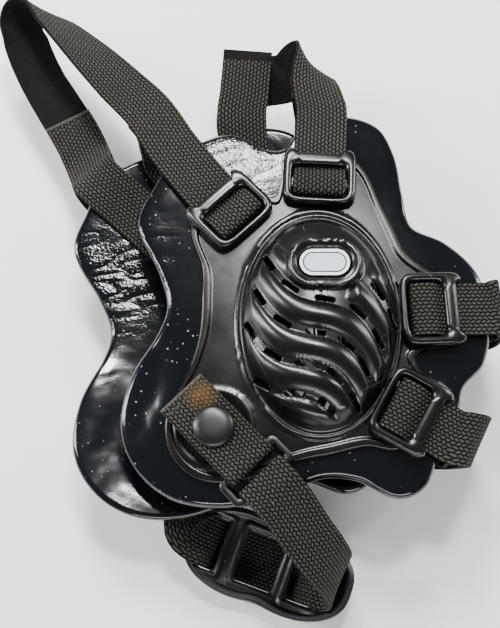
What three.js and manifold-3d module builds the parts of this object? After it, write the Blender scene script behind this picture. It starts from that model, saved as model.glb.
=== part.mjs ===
// A wrestling ear guard, folded flat as it lies on a table: two padded ear guards face each other,
// four webbing straps join them, and a chin strap carries a chin cup. Millimetres, +Z up, resting on z = 0.
import * as THREE from "three";
import { mergeVertices } from "three/addons/utils/BufferGeometryUtils.js";
import Module from "manifold-3d";

const wasm = await Module();
wasm.setup();

// Webbing
const WEBBING_WIDTH = 25.4;
const WEBBING_THICKNESS = 1.8;
const FIT = 0.4; // free space between the webbing and what it lies on

// Ear pad: foam in a dipped vinyl skin
const PAD_REACH = 112; // from the ear's centre to the farthest lobe
const PAD_THICKNESS = 9;
const PAD_ROUNDING = 3.2;
const EAR_OPENING_WIDTH = 58;
const EAR_OPENING_HEIGHT = 84;

// Moulded shell with its ear cup
const SHELL_REACH = 93;
const SHELL_THICKNESS = 2;
const SHELL_COLUMNS = 52; // points round its outline
const SEAT_GAP = 0.3; // between any two pieces that rest on each other
const CUP_WIDTH = 71;
const CUP_HEIGHT = 102;
const CUP_DEPTH = 16;
const RIB_HEIGHT = 2;
const RIB_WIDTH = 9.4;
const RIB_PITCH = CUP_HEIGHT / 6.845;
const VENT_LENGTH = 9.5;
const VENT_WIDTH = 2.5;

// Badge on the ear cup, with the raised ring round it
const BADGE_LENGTH = 22.8;
const BADGE_WIDTH = 12.4;
const BADGE_THICKNESS = 1.2;
const BADGE_X = 2; // from the ear cup's centre
const BADGE_Y = 23;
const RING_WALL = 7.2;
const RING_HEIGHT = 3;
const RING_RECESS = 1.6;

// Strap frames moulded on the shell
const FRAME_DEPTH = 27; // along the strap
const FRAME_HEIGHT = 6.2; // above the shell's plate
const FRAME_SIDE_BAR = 4.4;
const FRAME_OUTER_BAR = 6.3;
const FRAME_INNER_BAR = 3.2;
const CENTRE_BAR_WIDTH = 6;
const CENTRE_BAR_RISE = 2.4;

// How the two guards lie on each other
const GUARD_CROWN = 10; // how far a guard's middle stands off its edge
const GUARD_SPAN = 118; // the distance from the middle over which it does so
const HALF_FOLD = 2.6; // from the fold's middle plane to a pad's edge
const LOWER_SHIFT_X = -29;
const LOWER_SHIFT_Y = 0.5;
const LOWER_TURN = 5.5; // degrees

// Snap, its tab and the slider at the tab's other end
const SNAP_RADIUS = 9.5;
const SNAP_EDGE = 1;
const SNAP_DOME = 2;
const SNAP_POST_RADIUS = 2.6;
const SNAP_BASE_RADIUS = 5.6;
const SNAP_BASE_HEIGHT = 1.2;
const SOCKET_RADIUS = 7;
const SOCKET_HEIGHT = 1.2;
const TAB_HEADING = -46; // the way the tab points from the snap, degrees
const TAB_BEHIND = 22; // from the snap to the tab's free end
const SLIDER_AHEAD = 27.4; // from the snap to the slider's middle
const SLIDER_LENGTH = 35;
const SLIDER_DEPTH = 14.6;
const SLIDER_BAR = 3.4;
const SLIDER_THICKNESS = 2.4;

// Chin cup
const CHIN_CUP_LENGTH = 84;
const CHIN_CUP_WIDTH = 45;
const CHIN_CUP_THICKNESS = 4.6;
const CHIN_CUP_RISE = 13; // of its ends over its middle
const CHIN_CUP_SIDE_RISE = 5; // of its long sides over its middle
const CHIN_CUP_X = -23;
const CHIN_CUP_Y = -108;
const CHIN_CUP_TURN = -20; // degrees

const FRAME_WINDOW = WEBBING_WIDTH + 2 * FIT + 0.2;
const FRAME_WIDTH = FRAME_WINDOW + 2 * FRAME_SIDE_BAR;
const PLATE_BOTTOM = PAD_THICKNESS + SEAT_GAP;
const PLATE_TOP = PLATE_BOTTOM + SHELL_THICKNESS;
const RING_TOP = PLATE_TOP + CUP_DEPTH + RING_HEIGHT;
const STACK_HALF = HALF_FOLD + GUARD_CROWN + RING_TOP;

// Outlines round the ear's centre: deg is the direction, reach the share of the piece's own reach.
const PAD_OUTLINE = [
  { deg: 2, reach: 0.725 },
  { deg: 18, reach: 0.725 },
  { deg: 33, reach: 0.665 },
  { deg: 47, reach: 0.6 },
  { deg: 58, reach: 0.71 },
  { deg: 66, reach: 0.86 },
  { deg: 73, reach: 0.965 },
  { deg: 84, reach: 0.985 },
  { deg: 92, reach: 0.955 },
  { deg: 99, reach: 0.825 },
  { deg: 106, reach: 0.845 },
  { deg: 112, reach: 0.955 },
  { deg: 120, reach: 0.99 },
  { deg: 129, reach: 1.0 },
  { deg: 138, reach: 0.955 },
  { deg: 149, reach: 0.905 },
  { deg: 160, reach: 0.73 },
  { deg: 172, reach: 0.645 },
  { deg: 184, reach: 0.685 },
  { deg: 196, reach: 0.82 },
  { deg: 208, reach: 0.935 },
  { deg: 219, reach: 0.97 },
  { deg: 230, reach: 0.945 },
  { deg: 242, reach: 0.86 },
  { deg: 256, reach: 0.735 },
  { deg: 270, reach: 0.645 },
  { deg: 284, reach: 0.675 },
  { deg: 294, reach: 0.79 },
  { deg: 303, reach: 0.8 },
  { deg: 313, reach: 0.72 },
  { deg: 325, reach: 0.7 },
  { deg: 336, reach: 0.66 },
  { deg: 347, reach: 0.715 },
];
const SHELL_OUTLINE = [
  { deg: 4, reach: 0.715 },
  { deg: 17, reach: 0.7 },
  { deg: 28, reach: 0.61 },
  { deg: 40, reach: 0.58 },
  { deg: 52, reach: 0.63 },
  { deg: 64, reach: 0.73 },
  { deg: 76, reach: 0.9 },
  { deg: 88, reach: 0.955 },
  { deg: 99, reach: 0.9 },
  { deg: 106, reach: 0.72 },
  { deg: 111, reach: 0.725 },
  { deg: 118, reach: 0.85 },
  { deg: 130, reach: 0.9 },
  { deg: 142, reach: 0.82 },
  { deg: 153, reach: 0.66 },
  { deg: 167, reach: 0.6 },
  { deg: 181, reach: 0.59 },
  { deg: 193, reach: 0.63 },
  { deg: 203, reach: 0.72 },
  { deg: 212, reach: 0.89 },
  { deg: 220, reach: 0.975 },
  { deg: 228, reach: 0.995 },
  { deg: 236, reach: 0.96 },
  { deg: 246, reach: 0.85 },
  { deg: 259, reach: 0.715 },
  { deg: 274, reach: 0.665 },
  { deg: 290, reach: 0.665 },
  { deg: 300, reach: 0.74 },
  { deg: 313, reach: 0.77 },
  { deg: 326, reach: 0.69 },
  { deg: 335, reach: 0.53 },
  { deg: 343, reach: 0.53 },
  { deg: 351, reach: 0.68 },
];

// Strap frames: deg and reach (mm) place the frame's middle, heading is the way the strap leaves,
// lobe is how far the pad runs on beyond that middle, and tuck how far the folded-back ends reach,
// on the upper and on the lower guard.
const FRAMES = {
  front: { deg: 126.8, reach: 65.9, heading: 133, lobe: 50, tuck: [66, 98] },
  crown: { deg: 88.9, reach: 69, heading: 87, lobe: 43, tuck: [63, 82] },
  back_upper: { deg: 6, reach: 50, heading: 3, lobe: 34, tuck: [40, 40] },
  back_lower: { deg: 312.9, reach: 56, heading: -29, lobe: 28, tuck: [31, 31] },
};
const SNAP_PLACE = { deg: 226, reach: 69.5 };

// Each strap's free loop, from the upper guard to the lower: out and side are shares of the strap's
// reach, up a share of the folded guard's half height, roll and splay degrees that the band turns.
const LOOPS = {
  front: {
    reach: 112,
    rows: [
      { out: 0.3, side: -0.222, up: 0.36, roll: 18, splay: 0 },
      { out: 0.476, side: -0.246, up: 0.29, roll: 28, splay: 6 },
      { out: 0.63, side: -0.262, up: 0.21, roll: 38, splay: 12 },
      { out: 0.785, side: -0.268, up: 0.1, roll: 50, splay: 18 },
      { out: 0.89, side: -0.25, up: -0.02, roll: 66, splay: 22 },
      { out: 0.955, side: -0.19, up: -0.14, roll: 86, splay: 26 },
      { out: 0.94, side: -0.145, up: -0.24, roll: 70, splay: 40 },
      { out: 0.875, side: -0.11, up: -0.3, roll: 46, splay: 50 },
      { out: 0.8, side: -0.075, up: -0.35, roll: 32, splay: 46 },
      { out: 0.683, side: -0.033, up: -0.39, roll: 20, splay: 30 },
      { out: 0.516, side: 0.01, up: -0.42, roll: 8, splay: 10 },
      { out: 0.33, side: 0.06, up: -0.44, roll: 0, splay: 0 },
    ],
  },
  crown: {
    reach: 60,
    rows: [
      { out: 0.25, side: -0.29, up: 0.29, roll: 14, splay: 20 },
      { out: 0.46, side: -0.27, up: 0.16, roll: 40, splay: 40 },
      { out: 0.55, side: -0.19, up: 0.02, roll: 70, splay: 50 },
      { out: 0.45, side: -0.06, up: -0.08, roll: 84, splay: 58 },
      { out: 0.44, side: 0.12, up: -0.17, roll: 80, splay: 66 },
      { out: 0.43, side: 0.25, up: -0.24, roll: 60, splay: 66 },
      { out: 0.31, side: 0.315, up: -0.3, roll: 22, splay: 50 },
      { out: 0.1, side: 0.345, up: -0.35, roll: 0, splay: 0 },
    ],
  },
  back_upper: {
    reach: 30,
    rows: [
      { out: 0.62, side: -0.14, up: 0.43, roll: 0, splay: 0 },
      { out: 0.73, side: -0.16, up: 0.06, roll: 0, splay: 0 },
      { out: 0.66, side: -0.17, up: -0.34, roll: 0, splay: 0 },
      { out: 0.3, side: -0.08, up: -0.64, roll: 0, splay: 0 },
    ],
  },
  back_lower: {
    reach: 40,
    rows: [
      { out: 0.45, side: 0.1, up: 0.48, roll: 0, splay: 0 },
      { out: 0.57, side: 0.17, up: 0.32, roll: 0, splay: 0 },
      { out: 0.61, side: 0.22, up: 0.06, roll: 0, splay: 0 },
      { out: 0.6, side: 0.24, up: -0.24, roll: 0, splay: 0 },
      { out: 0.45, side: 0.2, up: -0.5, roll: 0, splay: 0 },
      { out: 0.12, side: 0.08, up: -0.6, roll: 0, splay: 0 },
    ],
  },
};

const rad = THREE.MathUtils.degToRad;
const vec = (x, y, z) => new THREE.Vector3(x, y, z);

// A closed outline's reach in any direction, as a smooth curve through the rows of its table.
function outlineReach(rows, scale) {
  const at = (i) => {
    const turn = Math.floor(i / rows.length);
    const row = rows[i - turn * rows.length];
    return { deg: row.deg + 360 * turn, reach: row.reach * scale };
  };
  const slope = (i) => (at(i + 1).reach - at(i - 1).reach) / (at(i + 1).deg - at(i - 1).deg);
  return (angle) => {
    let deg = ((THREE.MathUtils.radToDeg(angle) % 360) + 360) % 360;
    if (deg < rows[0].deg) deg += 360;
    let i = 0;
    while (at(i + 1).deg < deg) i += 1;
    const [a, b] = [at(i), at(i + 1)];
    const span = b.deg - a.deg;
    const t = (deg - a.deg) / span;
    const [t2, t3] = [t * t, t * t * t];
    return (
      (2 * t3 - 3 * t2 + 1) * a.reach +
      (t3 - 2 * t2 + t) * span * slope(i) +
      (3 * t2 - 2 * t3) * b.reach +
      (t3 - t2) * span * slope(i + 1)
    );
  };
}

const padReach = outlineReach(PAD_OUTLINE, PAD_REACH);
const shellReach = outlineReach(SHELL_OUTLINE, SHELL_REACH);

function ellipseReach(width, height, angle) {
  return 1 / Math.hypot(Math.cos(angle) / (width / 2), Math.sin(angle) / (height / 2));
}

// A guard is drawn flat, then bent: its middle stands off the fold, its edge lies near it.
function bend(x, y, w) {
  const crown = GUARD_CROWN * (1 - (x * x + y * y) / GUARD_SPAN ** 2);
  return vec(x, y, HALF_FOLD + Math.max(crown, 0) + w);
}

// A closed surface from rings of points: with poles each end closes to a point, without them it wraps round.
function surface(rings, poles) {
  const count = rings[0].length;
  const points = rings.flat();
  const faces = [];
  const joined = poles ? rings.length - 1 : rings.length;
  for (let i = 0; i < joined; i += 1) {
    const [near, far] = [i * count, ((i + 1) % rings.length) * count];
    for (let j = 0; j < count; j += 1) {
      const k = (j + 1) % count;
      faces.push(near + j, near + k, far + k, near + j, far + k, far + j);
    }
  }
  if (poles) {
    const last = (rings.length - 1) * count;
    points.push(...poles);
    for (let j = 0; j < count; j += 1) {
      const k = (j + 1) % count;
      faces.push(points.length - 2, k, j);
      faces.push(points.length - 1, last + j, last + k);
    }
  }
  return outward(new Float32Array(points.flatMap((p) => p.toArray())), faces);
}

// The same faces, turned where need be so that they point out of the solid.
function outward(positions, faces) {
  let volume = 0;
  const corner = (i) => vec().fromArray(positions, 3 * i);
  for (let i = 0; i < faces.length; i += 3) {
    volume += corner(faces[i]).dot(corner(faces[i + 1]).cross(corner(faces[i + 2])));
  }
  if (volume < 0) faces.reverse();
  const geometry = new THREE.BufferGeometry();
  geometry.setAttribute("position", new THREE.BufferAttribute(positions, 3));
  geometry.setIndex(faces);
  return geometry;
}

// A closed geometry as a solid that can be joined and cut, and back again.
function solid(geometry) {
  const bare = new THREE.BufferGeometry();
  bare.setAttribute("position", geometry.getAttribute("position").clone());
  if (geometry.index) bare.setIndex(geometry.index.clone());
  const merged = mergeVertices(bare, 1e-4);
  return new wasm.Manifold(
    new wasm.Mesh({
      numProp: 3,
      vertProperties: merged.attributes.position.array,
      triVerts: new Uint32Array(merged.index.array),
    }),
  );
}

// Cuts leave slivers, so triangles that lie in one plane to within this many millimetres are merged.
const FLATNESS = 0.04;

function geometryOf(made) {
  const mesh = made.asOriginal().simplify(FLATNESS).getMesh();
  const geometry = new THREE.BufferGeometry();
  geometry.setAttribute("position", new THREE.BufferAttribute(mesh.vertProperties, 3));
  geometry.setIndex(new THREE.BufferAttribute(mesh.triVerts, 1));
  return geometry;
}

// A shape drawn flat on a guard, as thick as from low to high, then bent with it.
function bentExtrusion(shape, low, high, bevel, place) {
  const geometry = new THREE.ExtrudeGeometry(shape, {
    depth: high - low - 2 * bevel,
    bevelEnabled: bevel > 0,
    bevelThickness: bevel,
    bevelSize: bevel,
    bevelOffset: -bevel,
    bevelSegments: 1,
    curveSegments: 1,
  });
  const position = geometry.getAttribute("position");
  for (let i = 0; i < position.count; i += 1) {
    const flat = place(position.getX(i), position.getY(i));
    const w = low + bevel + position.getZ(i);
    position.setXYZ(i, ...bend(flat.x, flat.y, w).toArray());
  }
  return solid(geometry);
}

function roundedRectangle(length, width, radius, path = new THREE.Shape()) {
  const [x, y] = [length / 2, width / 2];
  path.moveTo(x - radius, -y);
  path.absarc(x - radius, -y + radius, radius, -Math.PI / 2, 0);
  path.absarc(x - radius, y - radius, radius, 0, Math.PI / 2);
  path.absarc(-x + radius, y - radius, radius, Math.PI / 2, Math.PI);
  path.absarc(-x + radius, -y + radius, radius, Math.PI, 1.5 * Math.PI);
  return path;
}

// A slot's outline: two half circles joined by straight sides.
function stadium(length, width) {
  const shape = new THREE.Shape();
  const reach = (length - width) / 2;
  shape.absarc(reach, 0, width / 2, -Math.PI / 2, Math.PI / 2);
  shape.absarc(-reach, 0, width / 2, Math.PI / 2, 1.5 * Math.PI);
  return shape;
}

// Flat guard coordinates of a point beside a frame: along its strap, then across it.
function placeOn(frame) {
  const [deg, heading] = [rad(frame.deg), rad(frame.heading)];
  const middle = { x: frame.reach * Math.cos(deg), y: frame.reach * Math.sin(deg) };
  return (along, across) => ({
    x: middle.x + along * Math.cos(heading) - across * Math.sin(heading),
    y: middle.y + along * Math.sin(heading) + across * Math.cos(heading),
  });
}

// A box on a guard's frame, bent with the guard.
function frameBox(frame, from, to, width, low, high) {
  const shape = new THREE.Shape();
  shape.moveTo(from, -width / 2);
  shape.lineTo(to, -width / 2);
  shape.lineTo(to, width / 2);
  shape.lineTo(from, width / 2);
  return bentExtrusion(shape, low, high, 0, placeOn(frame));
}

// Where a frame's two gaps lie along its strap: the inner one takes the webbing through the pad.
const WINDOW_HALF = (FRAME_DEPTH - FRAME_OUTER_BAR - FRAME_INNER_BAR) / 2;
const OUTER_BAR_END = WINDOW_HALF + FRAME_OUTER_BAR;
const GAP_MIDDLE = (WINDOW_HALF + CENTRE_BAR_WIDTH / 2) / 2;
const PAD_SLOT = WINDOW_HALF - CENTRE_BAR_WIDTH / 2;

// Heights of the webbing's middle where it lies over the plate and under the pad.
const LAY_OVER = PLATE_TOP + FIT + 0.2 + WEBBING_THICKNESS / 2;
const LAY_UNDER = -2 * FIT - WEBBING_THICKNESS / 2;
const CORNER = 1.3; // radius of the webbing's turns round the centre bar

function earPad() {
  const columns = 60;
  const side = PAD_THICKNESS * 0.36;
  const section = [
    { share: 0, inset: 0, w: 0 },
    { share: 0.5, inset: 0, w: 0 },
    { share: 1, inset: -PAD_ROUNDING, w: 0 },
    { share: 1, inset: 0, w: side },
    { share: 1, inset: 0, w: PAD_THICKNESS - side },
    { share: 1, inset: -PAD_ROUNDING, w: PAD_THICKNESS },
    { share: 0.5, inset: 0, w: PAD_THICKNESS },
    { share: 0, inset: 0, w: PAD_THICKNESS },
  ];
  const rings = section.map((row) =>
    Array.from({ length: columns }, (_, j) => {
      const angle = (2 * Math.PI * j) / columns;
      const inner = ellipseReach(EAR_OPENING_WIDTH, EAR_OPENING_HEIGHT, angle);
      const reach = inner + (padReach(angle) - inner) * row.share + row.inset;
      return bend(reach * Math.cos(angle), reach * Math.sin(angle), row.w);
    }),
  );
  let pad = solid(surface(rings));
  for (const frame of Object.values(FRAMES)) {
    const gap = frameBox(
      frame,
      -WINDOW_HALF,
      -WINDOW_HALF + PAD_SLOT,
      FRAME_WINDOW,
      -PAD_THICKNESS,
      2 * PAD_THICKNESS,
    );
    pad = pad.subtract(gap);
  }
  return pad;
}

// The ear cup's height over the plate at a flat point, for a cup this wide, high and deep.
function cupRise(x, y, width, height, depth) {
  const share = Math.hypot(x / (width / 2), y / (height / 2));
  return share < 1 ? depth * (1 - share ** 2.6) ** 0.6 : 0;
}

const cupTop = (x, y) => PLATE_TOP + cupRise(x, y, CUP_WIDTH, CUP_HEIGHT, CUP_DEPTH);

// A groove or rib across the cup: an S-shaped line, nearly level in the middle and steep at both ends.
const FALL_MIDDLE = 0.176; // the line's slope at its middle
const FALL_ENDS = 1.18; // the further fall at the cup's edge, as a share of its half width
const RIB_SKEW = 0.33; // how far each line starts to the left of the one above, as a share of the pitch
const FIRST_GROOVE = RIB_PITCH * 0.43; // the top groove's middle, above the cup's centre

function ribPoint(line, share) {
  const down = line * RIB_PITCH;
  const half = CUP_WIDTH / 2;
  const fall = half * (FALL_MIDDLE * share + FALL_ENDS * share ** 3);
  return { x: share * half + 2 - down * RIB_SKEW, y: FIRST_GROOVE - down - fall };
}

// One raised rib as a flattened tube that follows the cup, over the stretch that lies on it.
function rib(line, from, to) {
  const steps = 8;
  const centre = [];
  for (let i = 0; i <= steps; i += 1) {
    const flat = ribPoint(line, from + ((to - from) * i) / steps);
    const share = Math.hypot(flat.x / (CUP_WIDTH / 2), flat.y / (CUP_HEIGHT / 2));
    if (share < 0.95) centre.push(bend(flat.x, flat.y, cupTop(flat.x, flat.y)));
  }
  const taper = (i) => Math.min(1, 0.35 + 0.5 * Math.min(i, centre.length - 1 - i));
  const rings = centre.map((point, i) => {
    const along = centre[Math.min(i + 1, centre.length - 1)].clone();
    along.sub(centre[Math.max(i - 1, 0)]).normalize();
    const across = along.clone().cross(vec(0, 0, 1)).normalize();
    const up = across.clone().cross(along).normalize();
    return [
      [0.5, -0.5],
      [0.26, 0.9],
      [-0.26, 0.9],
      [-0.5, -0.5],
    ].map(([a, u]) =>
      point
        .clone()
        .addScaledVector(across, a * RIB_WIDTH * taper(i))
        .addScaledVector(up, u * RIB_HEIGHT * (u > 0 ? taper(i) : 1)),
    );
  });
  return solid(surface(rings, [centre[0], centre[centre.length - 1]]));
}

// The vents: line counts the grooves from the top, along is the share of the cup's half width.
const VENTS = [
  { line: -1.05, along: [0.55, 0.75] },
  { line: 0, along: [-0.71, -0.44, 0, 0.42, 0.68] },
  { line: 1.03, along: [-0.69, -0.4, 0.02, 0.41, 0.64] },
  { line: 2, along: [-0.68, -0.39, 0, 0.4, 0.66] },
  { line: 2.85, along: [-0.41, 0, 0.41] },
];

function vents() {
  return VENTS.flatMap(({ line, along }) =>
    along.map((share) => {
      const [here, ahead] = [ribPoint(line, share), ribPoint(line, share + 0.02)];
      const vent = new THREE.BoxGeometry(VENT_LENGTH, VENT_WIDTH, 3 * CUP_DEPTH);
      vent.rotateZ(Math.atan2(ahead.y - here.y, ahead.x - here.x));
      vent.translate(here.x, here.y, bend(here.x, here.y, PLATE_TOP + CUP_DEPTH).z);
      return solid(vent);
    }),
  );
}

function badgeRing() {
  const outer = BADGE_WIDTH + 2 * RING_WALL;
  const floor = RING_TOP - RING_RECESS - BADGE_THICKNESS - SEAT_GAP;
  const body = stadium(BADGE_LENGTH + 2 * RING_WALL, outer);
  const well = stadium(BADGE_LENGTH + 2 * SEAT_GAP, BADGE_WIDTH + 2 * SEAT_GAP);
  return {
    add: flatExtrusion(body, PLATE_TOP + CUP_DEPTH * 0.3, RING_TOP, 1.5),
    cut: flatExtrusion(well, floor, RING_TOP + RING_HEIGHT, 0),
  };
}

// A level piece on the cup, at the height that the cup's centre has there.
function flatExtrusion(shape, low, high, bevel) {
  const geometry = new THREE.ExtrudeGeometry(shape, {
    depth: high - low - bevel,
    bevelEnabled: bevel > 0,
    bevelThickness: bevel,
    bevelSize: bevel,
    bevelOffset: -bevel,
    bevelSegments: 1,
    curveSegments: 4,
  });
  geometry.translate(BADGE_X, BADGE_Y, HALF_FOLD + GUARD_CROWN + low);
  return solid(geometry);
}

// A frame's block: a rounded rectangle whose top edge is chamfered. Its window is cut afterwards.
function strapFrame(frame) {
  const place = placeOn(frame);
  const middle = (FRAME_OUTER_BAR - FRAME_INNER_BAR) / 2;
  const chamfer = 1.6;
  const layer = (inset, w) => {
    const size = [FRAME_DEPTH - 2 * inset, FRAME_WIDTH - 2 * inset];
    const points = roundedRectangle(...size, FRAME_SIDE_BAR - inset).extractPoints(1).shape;
    return points.slice(0, -1).map((point) => {
      const flat = place(point.x + middle, point.y);
      return bend(flat.x, flat.y, w);
    });
  };
  const [low, high] = [PLATE_BOTTOM + SHELL_THICKNESS / 2, PLATE_TOP + FRAME_HEIGHT];
  const rings = [layer(0, low), layer(0, high - chamfer), layer(chamfer, high)];
  const centre = place(middle, 0);
  return solid(surface(rings, [bend(centre.x, centre.y, low), bend(centre.x, centre.y, high)]));
}

// The shell's blank: the ear cup's outer face and the plate round it, closed underneath.
function shellBlank() {
  const ring = (share, w, onPlate) =>
    Array.from({ length: SHELL_COLUMNS }, (_, j) => {
      const angle = (2 * Math.PI * j) / SHELL_COLUMNS;
      const foot = ellipseReach(CUP_WIDTH, CUP_HEIGHT, angle);
      const reach = onPlate ? foot + share * (shellReach(angle) - foot) : share * foot;
      const [x, y] = [reach * Math.cos(angle), reach * Math.sin(angle)];
      return bend(x, y, w + (onPlate ? 0 : cupRise(x, y, CUP_WIDTH, CUP_HEIGHT, CUP_DEPTH)));
    });
  const rings = [
    ...[0.42, 0.74, 0.93].map((share) => ring(share, PLATE_TOP, false)),
    ...[0, 0.5, 1].map((share) => ring(share, PLATE_TOP, true)),
    ...[1, 0.5, 0].map((share) => ring(share, PLATE_BOTTOM, true)),
  ];
  const poles = [bend(0, 0, PLATE_TOP + CUP_DEPTH), bend(0, 0, PLATE_BOTTOM)];
  return solid(surface(rings, poles));
}

// The hollow of the ear cup, a wall's thickness inside its outer face and open below.
function cupHollow() {
  const [width, height] = [CUP_WIDTH - 2 * SHELL_THICKNESS, CUP_HEIGHT - 2 * SHELL_THICKNESS];
  const ring = (share, w) =>
    Array.from({ length: SHELL_COLUMNS }, (_, j) => {
      const angle = (2 * Math.PI * j) / SHELL_COLUMNS;
      const reach = share * ellipseReach(width, height, angle);
      const [x, y] = [reach * Math.cos(angle), reach * Math.sin(angle)];
      return bend(x, y, w + cupRise(x, y, width, height, CUP_DEPTH));
    });
  const rings = [
    ...[0.6, 0.9, 0.999].map((share) => ring(share, PLATE_BOTTOM)),
    ring(0.999, PLATE_BOTTOM - CUP_DEPTH),
  ];
  const poles = [bend(0, 0, PLATE_BOTTOM + CUP_DEPTH), bend(0, 0, PLATE_BOTTOM - CUP_DEPTH)];
  return solid(surface(rings, poles));
}

function shell() {
  let made = shellBlank();
  const ribs = [
    rib(-1.5, 0.45, 0.9),
    rib(-0.5, -0.9, -0.42),
    rib(-0.5, 0.3, 0.95),
    rib(0.5, -0.95, 0.95),
    rib(1.5, -0.95, 0.95),
    rib(2.45, -0.9, 0.9),
    rib(3.3, -0.6, 0.7),
  ];
  const badge = badgeRing();
  for (const piece of [...ribs, badge.add, socket()]) made = made.add(piece);
  made = made.subtract(cupHollow());
  for (const frame of Object.values(FRAMES)) {
    made = made.add(strapFrame(frame));
    const barTop = PLATE_TOP + CENTRE_BAR_RISE;
    const gapWidth = FRAME_WINDOW;
    made = made.subtract(
      frameBox(frame, -WINDOW_HALF, WINDOW_HALF, gapWidth, 0, PLATE_TOP + FRAME_HEIGHT),
    );
    const bar = CENTRE_BAR_WIDTH / 2;
    made = made.add(frameBox(frame, -bar, bar, gapWidth + 2, PLATE_BOTTOM + 0.3, barTop));
    const tunnelTop = LAY_OVER + WEBBING_THICKNESS / 2 + FIT;
    const clear = WEBBING_WIDTH + 2 * FIT;
    made = made.subtract(
      frameBox(frame, WINDOW_HALF - 1, OUTER_BAR_END + 9, clear, PLATE_TOP + 0.2, tunnelTop),
    );
  }
  for (const cut of [badge.cut, ...vents()]) made = made.subtract(cut);
  return made;
}

// The snap's seat: a short round post on the lobe at the shell's lower left.
function snapPoint(w) {
  const deg = rad(SNAP_PLACE.deg);
  const [x, y] = [SNAP_PLACE.reach * Math.cos(deg), SNAP_PLACE.reach * Math.sin(deg)];
  return bend(x, y, w);
}

function socket() {
  const height = SOCKET_HEIGHT + SHELL_THICKNESS / 2;
  const disc = new THREE.CylinderGeometry(SOCKET_RADIUS, SOCKET_RADIUS, height, 14);
  disc.rotateX(Math.PI / 2);
  const at = snapPoint(PLATE_TOP + SOCKET_HEIGHT - height / 2);
  disc.translate(at.x, at.y, at.z);
  return solid(disc);
}

// Where each guard lies: the upper one at the origin, the lower one turned over and moved aside.
const UPPER = new THREE.Matrix4();
const LOWER = new THREE.Matrix4()
  .makeTranslation(LOWER_SHIFT_X, LOWER_SHIFT_Y, 0)
  .multiply(new THREE.Matrix4().makeRotationZ(rad(LOWER_TURN)))
  .multiply(new THREE.Matrix4().makeScale(1, 1, -1));

// A webbing band: stations hold its middle and the way across it. Its section is a flat rectangle.
function band(stations, width = WEBBING_WIDTH, thickness = WEBBING_THICKNESS) {
  const rings = stations.map(({ at, across }, i) => {
    const before = stations[Math.max(i - 1, 0)].at;
    const after = stations[Math.min(i + 1, stations.length - 1)].at;
    const back = at.clone().sub(before).normalize();
    const ahead = after.clone().sub(at).normalize();
    const along = back.clone().add(ahead).normalize();
    const side = across.clone().addScaledVector(along, -across.dot(along)).normalize();
    const up = along.clone().cross(side).normalize();
    const bendShare = i > 0 && i < stations.length - 1 ? Math.max(0.6, along.dot(ahead)) : 1;
    const half = thickness / 2 / bendShare;
    return [
      [0.5, -1],
      [0.5, 1],
      [-0.5, 1],
      [-0.5, -1],
    ].map(([a, u]) =>
      at.clone().addScaledVector(side, a * width).addScaledVector(up, u * half),
    );
  });
  return surface(rings, [stations[0].at, stations[stations.length - 1].at]);
}

// The webbing's way round one frame, from the pad's inner face over the centre bar and out past the lobe.
function frameRoute(frame, matrix) {
  const over = LAY_OVER + CENTRE_BAR_RISE;
  const flat = [
    { along: frame.lobe, w: LAY_UNDER },
    { along: frame.lobe / 2, w: LAY_UNDER },
    { along: -GAP_MIDDLE + 2 * CORNER, w: LAY_UNDER },
    { along: -GAP_MIDDLE + CORNER * 0.4, w: LAY_UNDER + CORNER * 0.4 },
    { along: -GAP_MIDDLE, w: LAY_UNDER + 2 * CORNER },
    { along: -GAP_MIDDLE, w: over - 1.2 * CORNER },
    { along: -GAP_MIDDLE + CORNER * 0.5, w: over - CORNER * 0.3 },
    { along: -GAP_MIDDLE + 1.8 * CORNER, w: over },
    { along: CENTRE_BAR_WIDTH / 2, w: over },
    { along: WINDOW_HALF - 1.2, w: LAY_OVER },
    { along: OUTER_BAR_END + 1.5, w: LAY_OVER },
    { along: frame.lobe - 1, w: LAY_OVER },
  ];
  const place = placeOn(frame);
  return flat.map(({ along, w }) => {
    const [left, right] = [0.5, -0.5].map((share) => {
      const edge = place(along, share * WEBBING_WIDTH);
      return bend(edge.x, edge.y, w).applyMatrix4(matrix);
    });
    return {
      at: left.clone().add(right).multiplyScalar(0.5),
      across: left.sub(right).normalize(),
    };
  });
}

// Evenly spaced stations along a smooth curve through the given ones.
function smoothed(stations, count) {
  const curve = new THREE.CatmullRomCurve3(
    stations.map(({ at }) => at),
    false,
    "centripetal",
  );
  return Array.from({ length: count + 1 }, (_, i) => {
    const share = i / count;
    const place = share * (stations.length - 1);
    const low = Math.min(Math.floor(place), stations.length - 2);
    const across = stations[low].across.clone().lerp(stations[low + 1].across, place - low);
    return { at: curve.getPoint(share), across: across.normalize() };
  });
}

// The folded-back end: it leaves the lobe's inner face and comes to lie on the band's inner side.
function foldedEnd(route, loop, tuck, lobe) {
  const start = route[0].at;
  const lie = WEBBING_THICKNESS + FIT;
  const wanted = tuck - lobe;
  const end = [];
  let along = 0;
  for (let i = 1; i < loop.length - 1 && along < wanted; i += 1) {
    along += loop[i].at.distanceTo(loop[i - 1].at);
    const tangent = loop[i + 1].at.clone().sub(loop[i - 1].at).normalize();
    const inner = loop[i].across.clone().cross(tangent).normalize();
    const beside = loop[i].at.clone().addScaledVector(inner, lie);
    const mix = THREE.MathUtils.smoothstep(along, 0, Math.min(16, wanted));
    const level = start.clone().add(loop[i].at).sub(loop[0].at);
    level.z = start.z;
    end.push({ at: level.lerp(beside, mix), across: loop[i].across });
  }
  return end.reverse();
}

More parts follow.
